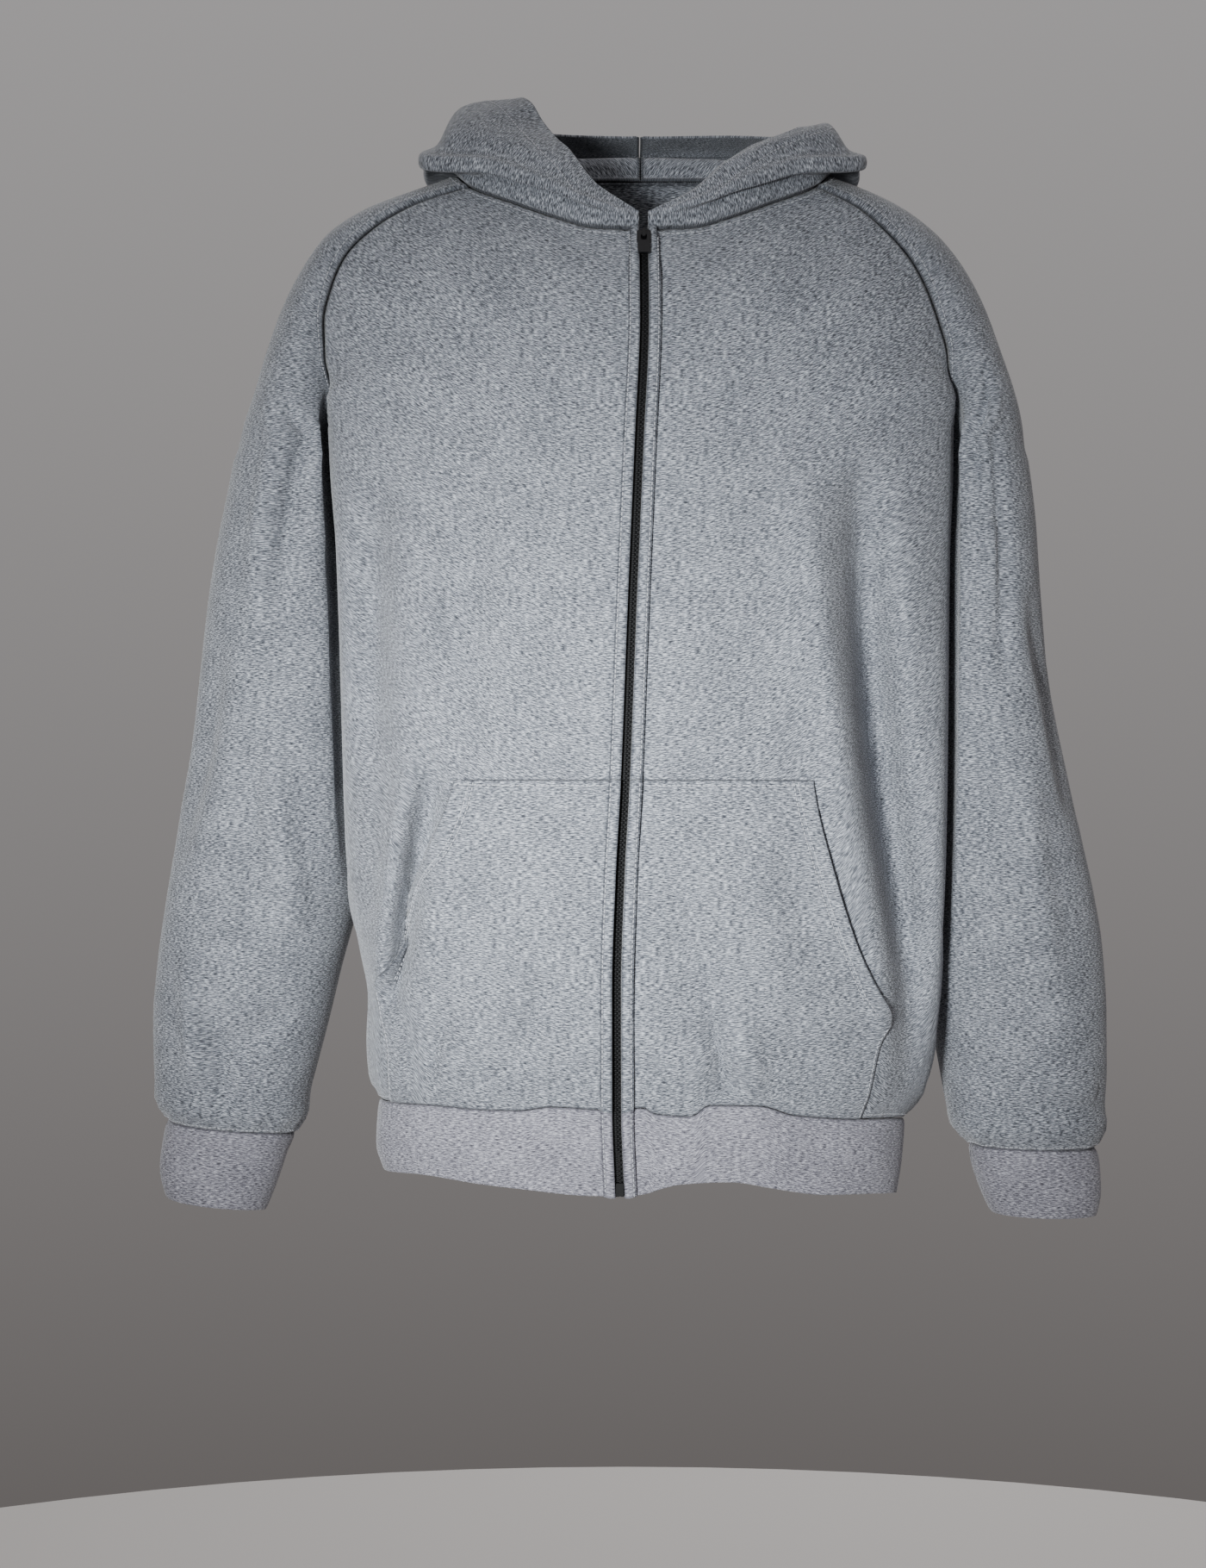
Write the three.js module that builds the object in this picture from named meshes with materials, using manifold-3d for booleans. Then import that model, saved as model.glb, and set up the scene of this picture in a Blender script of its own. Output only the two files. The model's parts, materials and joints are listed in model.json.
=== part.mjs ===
// A zip-up hoodie in its worn shape: raglan sleeves, split front pockets, a hem band,
// cuffs, a hood that lies pushed back, and a closed zip. Millimetres, +Z up.
// The front faces -Y and the wearer's left is +X. The origin is the middle of the neck.
// "out" is the distance from the middle plane towards the side, for either side.
import * as THREE from 'three';
import { mergeVertices } from 'three/addons/utils/BufferGeometryUtils.js';
import Module from 'manifold-3d';

const wasm = await Module();
wasm.setup();

// Driving sizes
const WALL = 2.2;
const SEAM_GAP = 0.3;
const TAPE_WALL = 0.8;
const ZIP_EDGE = 3.0;
const STRIP_WIDTH = 8.4;
const UNDERARM_Z = -190;
const HEM_SEAM_Z = -662;
const HEM_BOTTOM_Z = -721;
const POCKET_TOP_Z = -437;
const SIDES = { right: -1, left: 1 };

// How many steps each piece has
const POCKET_COLUMNS = 8;
const FLANK_COLUMNS = 4;
const BACK_COLUMNS = 9;
const CREST_COLUMNS = 8;
const HOOD_STEPS = 15;

// A table is a line of column names and a row of numbers for each section
function table(names, rows) {
  const keys = names.split(' ');
  return rows.map((row) => Object.fromEntries(keys.map((key, i) => [key, row[i]])));
}

// The smooth value of one column where the column `by` is `at`, with no overshoot
function read(rows, by, at, key) {
  const rising = rows[rows.length - 1][by] > rows[0][by] ? 1 : -1;
  let i = 0;
  while (i < rows.length - 2 && (at - rows[i + 1][by]) * rising > 0) i += 1;
  const slope = (n) => {
    if (n < 0 || n > rows.length - 2) return null;
    return (rows[n + 1][key] - rows[n][key]) / (rows[n + 1][by] - rows[n][by]);
  };
  const tangent = (n) => {
    const before = slope(n - 1);
    const after = slope(n);
    if (before === null) return after;
    if (after === null) return before;
    return before * after <= 0 ? 0 : (2 * before * after) / (before + after);
  };
  const span = rows[i + 1][by] - rows[i][by];
  const t = THREE.MathUtils.clamp((at - rows[i][by]) / span, 0, 1);
  const [a, b] = [rows[i][key], rows[i + 1][key]];
  const [ta, tb] = [tangent(i) * span, tangent(i + 1) * span];
  return a * (1 + 2 * t) * (1 - t) ** 2 + ta * t * (1 - t) ** 2
    + b * t * t * (3 - 2 * t) + tb * t * t * (t - 1);
}

const mix = THREE.MathUtils.lerp;

function bezier(p, t) {
  const s = 1 - t;
  return p[0] * s ** 3 + 3 * p[1] * s * s * t + 3 * p[2] * s * t * t + p[3] * t ** 3;
}

// The middle of the front and of the back, from the neck to the hem
const MIDDLE_FRONT = table('z y', [
  [-57, -85], [-90, -104], [-120, -115], [-200, -131], [-300, -137], [-450, -136],
  [-560, -131], [-630, -124], [-662, -118], [-690, -117], [-721, -114]]);
const MIDDLE_BACK = table('z y', [
  [8, 70], [-50, 98], [-120, 114], [-200, 118], [-300, 113], [-450, 111],
  [-600, 113], [-645, 110], [-662, 105], [-690, 104], [-721, 102]]);
const ZIP_LINE = table('z x', [
  [-57, 0], [-120, 0.4], [-207, -3.3], [-320, -8.2], [-440, -12.9], [-503, -16.3],
  [-580, -18.7], [-662, -18.5], [-721, -16.3]]);

// The widest edge of the body and its side seam, which the sleeve presses inwards
const BODY_SIDE = {
  right: table('z edge seam y', [
    [-190, 222, 197, 15], [-230, 220, 194, 18], [-273, 217, 191, 20], [-347, 214, 190, 22],
    [-422, 212, 190, 24], [-490, 210, 191, 22], [-521, 208, 193, 18], [-558, 200, 191, 12],
    [-589, 195, 189, 8], [-620, 196, 191, 6], [-648, 194, 190, 5], [-662, 187, 183, 5],
    [-676, 188, 184, 5], [-700, 189, 185, 5], [-721, 184, 180, 5]]),
  left: table('z edge seam y', [
    [-190, 220, 197, 15], [-230, 219, 194, 18], [-279, 217, 191, 20], [-372, 216, 190, 22],
    [-465, 215, 190, 24], [-546, 213, 192, 20], [-600, 210, 195, 14], [-630, 205, 195, 9],
    [-648, 199, 193, 6], [-662, 187, 183, 5], [-676, 186, 182, 5], [-700, 184, 180, 5],
    [-721, 181, 177, 5]]),
};
// How much less the back reaches out than the front, under the sleeve
const BACK_NARROWER = 14;
// How far the hem hangs lower at the side seam than at the zip
const HEM_DROOP = { right: 1, left: 17 };

// The neck seam, from the zip round to the middle of the back
const NECK = table('t out y z', [
  [0, 3, -85, -57], [0.12, 32, -83, -56], [0.24, 62, -76, -47], [0.36, 88, -66, -36],
  [0.52, 122, -50, -20], [0.66, 133, 0, -2], [0.82, 95, 48, 2], [0.92, 50, 66, 7],
  [1, 0, 70, 8]]);
const NECK_FRONT_SEAM = 0.52;
const NECK_BACK_SEAM = 0.82;

// The raglan seams and the crest of the sleeve, in rows from the neck to the underarm
const RAGLAN_FRONT = {
  right: table('row out y z', [
    [0, 122, -50, -20], [1, 157, -58, -33], [2, 188, -63, -52], [3, 208, -65, -73],
    [4, 218, -64, -96], [5, 223, -60, -118], [6, 223, -52, -140], [7, 219, -36, -162],
    [8, 209, -10, -181], [9, 197, 15, UNDERARM_Z]]),
  left: table('row out y z', [
    [0, 122, -50, -20], [1, 149, -57, -35], [2, 170, -61, -54], [3, 187, -64, -75],
    [4, 198, -63, -95], [5, 207, -60, -118], [6, 214, -52, -140], [7, 216, -36, -162],
    [8, 208, -10, -181], [9, 197, 15, UNDERARM_Z]]),
};
const CREST = {
  right: table('row out y z', [
    [0, 133, 0, -2], [1, 165, 1, -15], [2, 196, 3, -28], [3, 223, 6, -46], [4, 245, 9, -74],
    [5, 260, 11, -103], [6, 271, 13, -133], [7, 280, 15, -163], [8, 287, 16, -184],
    [9, 291, 17, -200]]),
  left: table('row out y z', [
    [0, 133, 0, -2], [1, 159, 1, -13], [2, 185, 3, -26], [3, 212, 6, -47], [4, 231, 9, -70],
    [5, 246, 11, -98], [6, 257, 13, -128], [7, 267, 15, -158], [8, 273, 16, -181],
    [9, 276, 17, -201]]),
};
const RAGLAN_BACK = table('row out y z', [
  [0, 95, 48, 2], [1, 126, 66, -10], [2, 153, 79, -28], [3, 176, 87, -50], [4, 194, 90, -76],
  [5, 206, 88, -104], [6, 213, 81, -132], [7, 213, 66, -158], [8, 207, 41, -180],
  [9, 197, 15, UNDERARM_Z]]);
// Heights of the rows at the zip and at the middle of the back, the turn of the body
// towards the sleeve in degrees, and how far the sleeve swells past its two seams
const YOKE = table('row front back turn swell rise crown', [
  [0, -57, 8, 28, 8, 4, 22], [1, -70, -8, 30, 12, 8, 26], [2, -84, -26, 33, 15, 10, 30],
  [3, -98, -46, 38, 17, 13, 36], [4, -112, -68, 44, 18, 17, 44], [5, -127, -92, 52, 18, 22, 54],
  [6, -142, -118, 62, 17, 32, 66], [7, -158, -144, 76, 17, 52, 84], [8, -174, -168, 92, 14, 82, 101],
  [9, -190, -190, 104, 0, 112, 112]]);
const YOKE_ROWS = 9;
// From the row after this one on, the body bulges past its seam and under the sleeve
const TURNED_ROWS = 6;

// The sleeve below the underarm: its outer and inner edges, its middle and its half depth
const SLEEVE = {
  right: table('z out inner y deep', [
    [-190, 291, 197, 17, 84], [-225, 298, 197, 18, 84], [-267, 307, 197, 20, 83],
    [-310, 314, 198, 22, 82], [-360, 320, 198, 24, 81], [-415, 327, 198, 26, 79],
    [-459, 335, 198, 27, 77], [-496, 341, 201, 28, 75], [-533, 347, 208, 28, 73],
    [-570, 352, 218, 28, 70], [-608, 355, 228, 27, 66], [-645, 354, 239, 25, 61],
    [-668, 350, 246, 24, 54], [-682, 344, 252, 23, 46]]),
  left: table('z out inner y deep', [
    [-190, 276, 197, 17, 84], [-248, 284, 198, 19, 84], [-298, 288, 198, 21, 82],
    [-347, 293, 198, 23, 81], [-391, 301, 198, 25, 79], [-434, 310, 198, 26, 78],
    [-477, 319, 199, 27, 76], [-521, 329, 200, 28, 74], [-558, 335, 203, 28, 72],
    [-608, 338, 211, 27, 68], [-645, 338, 217, 25, 63], [-676, 336, 223, 24, 56],
    [-692, 334, 230, 23, 50], [-703, 330, 239, 23, 45]]),
};
const CUFF = {
  right: table('z out inner y deep', [
    [0, 344, 252, 23, 45], [12, 347, 257, 23, 42], [36, 350, 265, 22, 37], [56, 346, 273, 22, 33]]),
  left: table('z out inner y deep', [
    [0, 330, 239, 23, 44], [12, 333, 240, 23, 42], [32, 334, 246, 22, 37], [50, 331, 254, 22, 33]]),
};
// How much lower the inner edge of the cuff seam is than the outer edge
const CUFF_SLOPE = { right: 12, left: -2 };

// The pocket's outer edge: the slanted opening, then the sewn lower edge
const POCKET_EDGE = {
  right: table('z out', [
    [-200, 120], [POCKET_TOP_Z, 129], [-486, 142], [-521, 157], [-558, 174], [-579, 185],
    [-600, 182], [-621, 177], [HEM_SEAM_Z, 176], [HEM_BOTTOM_Z, 174]]),
  left: table('z out', [
    [-200, 108], [POCKET_TOP_Z, 115], [-505, 131], [-536, 142], [-578, 161], [-598, 170],
    [-612, 163], [-646, 155], [HEM_SEAM_Z, 150], [HEM_BOTTOM_Z, 148]]),
};

// The largest folds: a soft trough (negative) or ridge along a short path of out and z
const FOLDS = [
  { side: 'right', face: 'front', path: [[176, -436], [181, -500], [196, -575]], wide: 16, high: 6 },
  { side: 'right', face: 'front', path: [[160, -452], [168, -520], [178, -580]], wide: 13, high: -8 },
  { side: 'right', face: 'front', path: [[112, -240], [120, -330], [118, -420]], wide: 22, high: 4 },
  { side: 'left', face: 'front', path: [[143, -270], [150, -400], [172, -560]], wide: 20, high: -9 },
  { side: 'left', face: 'front', path: [[176, -330], [186, -470], [190, -600]], wide: 15, high: 6 },
  { side: 'left', face: 'front', path: [[44, -600], [58, -655]], wide: 11, high: -4 },
  { side: 'right', face: 'back', path: [[60, -300], [78, -430], [86, -560]], wide: 24, high: -7 },
  { side: 'right', face: 'back', path: [[140, -420], [150, -520], [150, -620]], wide: 20, high: 6 },
  { side: 'left', face: 'back', path: [[88, -260], [96, -400], [110, -520]], wide: 24, high: -8 },
  { side: 'left', face: 'back', path: [[30, -470], [36, -560], [32, -640]], wide: 18, high: 5 },
];

// How much the folds raise the cloth at a place, from 0 at a fold's ends
function foldHeight(side, face, out, z) {
  let height = 0;
  for (const fold of FOLDS) {
    if (fold.side !== side || fold.face !== face) continue;
    const last = fold.path.length - 1;
    const along = (z - fold.path[0][1]) / (fold.path[last][1] - fold.path[0][1]);
    if (along <= 0 || along >= 1) continue;
    const rows = fold.path.map((p) => ({ z: p[1], out: p[0] }));
    const away = (out - read(rows, 'z', z, 'out')) / fold.wide;
    height += fold.high * Math.exp(-away * away) * Math.sin(Math.PI * along) ** 0.8;
  }
  return height;
}

// The body

// Moves a row's third control value out until the row just reaches the edge
function reachEdge(outs, edge) {
  let [low, high] = [outs[3], outs[3] + 120];
  for (let n = 0; n < 24; n += 1) {
    outs[2] = (low + high) / 2;
    let most = 0;
    for (let t = 0.5; t <= 1; t += 0.04) most = Math.max(most, bezier(outs, t));
    if (most > edge) high = outs[2];
    else low = outs[2];
  }
}

// One row of the front or the back, as two lists of four control values
function bodyRow(side, face, z) {
  const middle = read(face === 'front' ? MIDDLE_FRONT : MIDDLE_BACK, 'z', z, 'y');
  const start = face === 'front' ? read(ZIP_LINE, 'z', z, 'x') * SIDES[side] + ZIP_EDGE : 0;
  const rows = BODY_SIDE[side];
  const seam = read(rows, 'z', z, 'seam');
  const seamY = read(rows, 'z', z, 'y');
  const edge = read(rows, 'z', z, 'edge') - (face === 'back' ? BACK_NARROWER : 0);
  const outs = [start, start + 0.6 * (seam - start), seam, seam];
  const ys = [middle, middle, seamY - 0.68 * (seamY - middle), seamY];
  reachEdge(outs, edge);
  return { outs, ys };
}

// The row at a height, kept once it is worked out
const rowStore = new Map();
function keptRow(side, face, z) {
  const key = `${side} ${face} ${z.toFixed(3)}`;
  if (!rowStore.has(key)) rowStore.set(key, bodyRow(side, face, z));
  return rowStore.get(key);
}

// The body's point at a place along a row, with the folds, for rows under the underarm
function bodyPoint(side, face, t, z) {
  const row = keptRow(side, face, z);
  const out = bezier(row.outs, t);
  const away = face === 'front' ? -1 : 1;
  const flat = 1 - t ** 6;
  const y = bezier(row.ys, t) + away * foldHeight(side, face, out, z) * flat;
  const droop = HEM_DROOP[side] * THREE.MathUtils.smoothstep(-z, 420, 662);
  return new THREE.Vector3(out * SIDES[side], y, z - droop * t ** 1.6);
}

// How far out a row of the body reaches at a depth, which the sleeve stays clear of
function rowReach(row, y) {
  if ((y - row.ys[0]) * (row.ys[3] - row.ys[0]) < 0) return 0;
  let [low, high] = [0, 1];
  for (let n = 0; n < 20; n += 1) {
    const t = (low + high) / 2;
    if ((bezier(row.ys, t) - y) * (row.ys[3] - row.ys[0]) < 0) low = t;
    else high = t;
  }
  return bezier(row.outs, low);
}

function bodyReach(side, y, z) {
  const seamY = read(BODY_SIDE[side], 'z', z, 'y');
  return rowReach(keptRow(side, y < seamY ? 'front' : 'back', z), y);
}

// A point of the neck seam, with x as the distance out
function neckPoint(t) {
  return new THREE.Vector3(read(NECK, 't', t, 'out'), read(NECK, 't', t, 'y'), read(NECK, 't', t, 'z'));
}

// The rows above the underarm, from the middle to a raglan seam
function yokeRow(side, face, row) {
  const yoke = YOKE[row];
  const seam = face === 'front' ? RAGLAN_FRONT[side][row] : RAGLAN_BACK[row];
  const z0 = face === 'front' ? yoke.front : yoke.back;
  const middle = read(face === 'front' ? MIDDLE_FRONT : MIDDLE_BACK, 'z', z0, 'y');
  const start = face === 'front' ? read(ZIP_LINE, 'z', z0, 'x') * SIDES[side] + ZIP_EDGE : 0;
  const low = row / YOKE_ROWS;
  const reach = mix(0.6, 0.68, low) * (seam.y - middle);
  const turn = THREE.MathUtils.degToRad(yoke.turn);
  const back = Math.min(Math.abs(reach) / Math.tan(turn), 0.45 * (seam.out - start));
  const outs = [start, start + mix(0.5, 0.6, low) * (seam.out - start), seam.out - back, seam.out];
  const ys = [middle, middle, seam.y - reach, seam.y];
  const edge = read(BODY_SIDE[side], 'z', UNDERARM_Z, 'edge') - (face === 'back' ? BACK_NARROWER : 0);
  if (row > TURNED_ROWS && edge > seam.out) {
    const turned = outs[2];
    reachEdge(outs, edge);
    const share = THREE.MathUtils.smoothstep(row, TURNED_ROWS, YOKE_ROWS);
    outs[2] = mix(turned, Math.max(turned, outs[2]), share);
  }
  return { outs, ys, z0, seam };
}

const yokeStore = new Map();
function keptYoke(side, face, row) {
  const key = `${side} ${face} ${row}`;
  if (!yokeStore.has(key)) yokeStore.set(key, yokeRow(side, face, row));
  return yokeStore.get(key);
}

// A point of such a row, with x as the distance out
function yokeCurve(side, face, t, row) {
  const { outs, ys, z0, seam } = keptYoke(side, face, row);
  return new THREE.Vector3(bezier(outs, t), bezier(ys, t), mix(z0, seam.z, t ** 1.6));
}

// The first rows take up the true curve of the neck seam
function yokePoint(side, face, t, row) {
  const point = yokeCurve(side, face, t, row);
  const fade = Math.max(0, 1 - row / 3);
  const at = face === 'front' ? NECK_FRONT_SEAM * t : 1 - (1 - NECK_BACK_SEAM) * t;
  point.add(neckPoint(at).sub(yokeCurve(side, face, t, 0)).multiplyScalar(fade));
  point.x *= SIDES[side];
  return point;
}

// The sleeves

// A point of the sleeve's yoke, from the front seam (t = 0) over the crest to the back (t = 1)
function crownCurve(side, t, row) {
  const yoke = YOKE[row];
  const front = t < 0.5;
  const seam = front ? RAGLAN_FRONT[side][row] : RAGLAN_BACK[row];
  const crest = CREST[side][row];
  const along = front ? t * 2 : 2 - t * 2;
  const away = front ? -1 : 1;
  const outs = [seam.out, seam.out + yoke.swell, crest.out, crest.out];
  const ys = [seam.y, seam.y + away * yoke.rise, crest.y + away * yoke.crown, crest.y];
  const zs = [seam.z, mix(seam.z, crest.z, 0.45), crest.z, crest.z];
  return new THREE.Vector3(bezier(outs, along), bezier(ys, along), bezier(zs, along));
}

function crownNeck(t) {
  const crestAt = NECK[5].t;
  return t < 0.5 ? mix(NECK_FRONT_SEAM, crestAt, t * 2) : mix(crestAt, NECK_BACK_SEAM, t * 2 - 1);
}

// The sleeve parts from the body beside the crease: how far, for each row, and over what run
const CREASE_CLEAR = 2.8;
const CREASE_RUN = 12;

function crownPoint(side, t, row) {
  const point = crownCurve(side, t, row);
  const fade = Math.max(0, 1 - row / 3);
  point.add(neckPoint(crownNeck(t)).sub(crownCurve(side, t, 0)).multiplyScalar(fade));
  if (row > TURNED_ROWS) {
    const body = keptYoke(side, t < 0.5 ? 'front' : 'back', row);
    const away = Math.hypot(point.x - body.seam.out, point.y - body.seam.y);
    const clear = CREASE_CLEAR * (row - TURNED_ROWS) * Math.min(1, away / CREASE_RUN);
    point.x = Math.max(point.x, rowReach(body, point.y) + clear);
  }
  point.x *= SIDES[side];
  return point;
}

// A point of a ring of the sleeve or the cuff: t runs from the inner edge by the front
function ringPoint(side, ring, t) {
  const front = t < 0.5;
  const along = front ? t * 2 : 2 - t * 2;
  const away = front ? -1 : 1;
  const swell = (4 / 3) * ring.deep * away;
  const out = bezier([ring.inner, ring.inner, ring.out, ring.out], along);
  const y = bezier([ring.y, ring.y + swell, ring.y + swell, ring.y], along);
  return new THREE.Vector3(out, y, ring.z - ring.slope * (1 - along));
}

function sleeveRing(side, z) {
  const rows = SLEEVE[side];
  const ring = { z, slope: CUFF_SLOPE[side] * THREE.MathUtils.smoothstep(-z, 560, 682) };
  for (const key of ['out', 'inner', 'y', 'deep']) ring[key] = read(rows, 'z', z, key);
  return ring;
}

const SLEEVE_CLEAR = 7;
function sleevePoint(side, t, z) {
  const point = ringPoint(side, sleeveRing(side, z), t);
  const clear = SLEEVE_CLEAR * THREE.MathUtils.smoothstep(-point.z, -UNDERARM_Z, -UNDERARM_Z + 25);
  const needed = bodyReach(side, point.y, Math.max(point.z, HEM_BOTTOM_Z)) + clear;
  point.x = Math.max(point.x, needed) * SIDES[side];
  return point;
}

// Sheets of cloth: points, faces and the normals that neighbours share at their seams

const keyOf = (point) => point.toArray().map((v) => Math.round(v * 100) || 0).join(' ');

function grid(rows, closed) {
  const points = [];
  const faces = [];
  const index = new Map();
  const spot = (point) => {
    const key = keyOf(point);
    if (!index.has(key)) {
      index.set(key, points.length);
      points.push(point);
    }
    return index.get(key);
  };
  const ids = rows.map((row) => row.map(spot));
  const add = (a, b, c) => {
    if (a !== b && b !== c && a !== c) faces.push([a, b, c]);
  };
  for (let i = 0; i < ids.length - 1; i += 1) {
    for (let j = 0; j < ids[i].length - 1; j += 1) {
      const [a, b, c, d] = [ids[i][j], ids[i][j + 1], ids[i + 1][j + 1], ids[i + 1][j]];
      const flip = closed ? (i + j) % 2 === 0 : true;
      if (flip) {
        add(a, b, c);
        add(a, c, d);
      } else {
        add(a, b, d);
        add(b, c, d);
      }
    }
  }
  return { points, faces };
}

// Turns a sheet over, so that its faces look outwards
function faceOut(sheet, flipped) {
  if (flipped) sheet.faces.forEach((face) => face.reverse());
  return sheet;
}

const shared = new Map();

function faceNormal(points, face) {
  const [a, b, c] = face.map((i) => points[i]);
  return new THREE.Vector3().crossVectors(b.clone().sub(a), c.clone().sub(a));
}

function weld(sheet) {
  for (const face of sheet.faces) {
    const normal = faceNormal(sheet.points, face);
    for (const i of face) {
      const key = keyOf(sheet.points[i]);
      if (!shared.has(key)) shared.set(key, new THREE.Vector3());
      shared.get(key).add(normal);
    }
  }
  return sheet;
}

// The free edges of a sheet: two point numbers in the order of their face, and that face
function freeEdges(faces) {
  const seen = new Map();
  for (const face of faces) {
    face.forEach((a, i) => seen.set(`${a} ${face[(i + 1) % 3]}`, [a, face[(i + 1) % 3], face]));
  }
  return [...seen.values()].filter(([a, b]) => !seen.has(`${b} ${a}`));
}

const SHARPEST = 0.16;

// A closed wall from a sheet: its outer face lies `lift` above the points, and its
// edges are drawn in by half a seam gap
function wallOf(sheet, wall, lift) {
  const { points, faces } = sheet;
  const edges = freeEdges(faces);
  const normals = points.map((point) => shared.get(keyOf(point)).clone().normalize());
  const inward = new Map();
  for (const [a, b, face] of edges) {
    const along = points[b].clone().sub(points[a]).normalize();
    const into = faceNormal(points, face).cross(along).normalize();
    for (const i of [a, b]) {
      const across = normals[i].clone().cross(along).normalize();
      if (!inward.has(i)) inward.set(i, []);
      inward.get(i).push({ into, open: Math.abs(into.dot(across)) });
    }
  }
  // Where two panels meet in a sharp crease, each edge is drawn in further
  const moved = points.map((point, i) => {
    if (!inward.has(i)) return point.clone();
    const ends = inward.get(i);
    const sum = ends.reduce((total, end) => total.add(end.into), new THREE.Vector3());
    const open = ends.reduce((total, end) => total + end.open, 0) / ends.length;
    const share = Math.max(SHARPEST, (open * sum.length()) / ends.length);
    return point.clone().addScaledVector(sum.normalize(), SEAM_GAP / 2 / share);
  });
  const count = points.length;
  const corners = [];
  for (const height of [lift, lift - wall]) {
    moved.forEach((point, i) => {
      corners.push(...point.clone().addScaledVector(normals[i], height).toArray());
    });
  }
  const triangles = [];
  faces.forEach(([a, b, c]) => triangles.push(a, b, c, c + count, b + count, a + count));
  // Both walls at a seam split their edge faces along the same line, from the higher point
  for (const [a, b] of edges) {
    if (points[a].z < points[b].z) triangles.push(b, a, a + count, b, a + count, b + count);
    else triangles.push(b, a, b + count, a, a + count, b + count);
  }
  const geometry = new THREE.BufferGeometry();
  geometry.setAttribute('position', new THREE.Float32BufferAttribute(corners, 3));
  geometry.setIndex(triangles);
  return geometry;
}

// The panels

// The place along a row where it reaches a distance out
function whereOut(outs, target) {
  let [low, high] = [0, 1];
  for (let n = 0; n < 24; n += 1) {
    const t = (low + high) / 2;
    if (bezier(outs, t) < target) low = t;
    else high = t;
  }
  return low;
}

// The columns of a front row: the strip's edge, then the pocket's edge, then the flank
function frontColumns(side, z) {
  const outs = keptRow(side, 'front', Math.min(z, UNDERARM_Z)).outs;
  const strip = whereOut(outs, outs[0] + STRIP_WIDTH);
  const pocket = whereOut(outs, read(POCKET_EDGE[side], 'z', Math.min(z, -200), 'out'));
  const columns = [0];
  for (let j = 0; j <= POCKET_COLUMNS; j += 1) columns.push(mix(strip, pocket, j / POCKET_COLUMNS));
  for (let j = 1; j <= FLANK_COLUMNS; j += 1) columns.push(mix(pocket, 1, j / FLANK_COLUMNS));
  return columns;
}

const BODY_ROWS = [-225, -265, -308, -352, -396, POCKET_TOP_Z, -468, -500, -532, -562, -590, -616,
  -640, HEM_SEAM_Z];
const HEM_ROWS = [HEM_SEAM_Z, -676, -700, HEM_BOTTOM_Z];
const POCKET_ROW = YOKE_ROWS + BODY_ROWS.indexOf(POCKET_TOP_Z) + 1;

const backColumns = () => even(BACK_COLUMNS).map((t) => t ** 0.85);
const even = (count) => Array.from({ length: count + 1 }, (_, i) => i / count);

function frontRows(side) {
  const yoke = YOKE.map(({ row, front }) => (
    frontColumns(side, front).map((t) => yokePoint(side, 'front', t, row))));
  const body = BODY_ROWS.map((z) => frontColumns(side, z).map((t) => bodyPoint(side, 'front', t, z)));
  return yoke.concat(body);
}

function backHalf(side) {
  const columns = backColumns();
  const yoke = YOKE.map((row) => columns.map((t) => yokePoint(side, 'back', t, row.row)));
  return yoke.concat(BODY_ROWS.map((z) => columns.map((t) => bodyPoint(side, 'back', t, z))));
}

function backRows() {
  const [right, left] = [backHalf('right'), backHalf('left')];
  return right.map((row, i) => row.slice(1).reverse().concat(left[i]));
}

function sleeveRows(side) {
  const columns = even(CREST_COLUMNS * 2);
  const yoke = YOKE.map((row) => columns.map((t) => crownPoint(side, t, row.row)));
  const last = SLEEVE[side][SLEEVE[side].length - 1].z;
  const levels = [-222, -258, -300, -345, -390, -434, -477, -518, -556, -592, -624, -650, last + 16, last];
  return yoke.concat(levels.map((z) => columns.map((t) => sleevePoint(side, t, z))));
}

function cuffRows(side) {
  const top = sleeveRing(side, SLEEVE[side][SLEEVE[side].length - 1].z);
  return CUFF[side].map((ring, i) => {
    const used = i === 0 ? top : { ...ring, z: top.z - ring.z, slope: top.slope };
    return even(CREST_COLUMNS * 2).map((t) => {
      const point = i === 0 ? sleevePoint(side, t, top.z) : ringPoint(side, used, t);
      if (i > 0) point.x *= SIDES[side];
      return point;
    });
  });
}

function hemRows() {
  return HEM_ROWS.map((z) => {
    const parts = { right: [], left: [] };
    for (const side of ['right', 'left']) {
      const front = frontColumns(side, z).map((t) => bodyPoint(side, 'front', t, z));
      const back = backColumns().map((t) => bodyPoint(side, 'back', t, z));
      parts[side] = front.concat(back.slice(0, -1).reverse());
    }
    return parts.right.concat(parts.left.slice(0, -1).reverse());
  });
}

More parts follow.
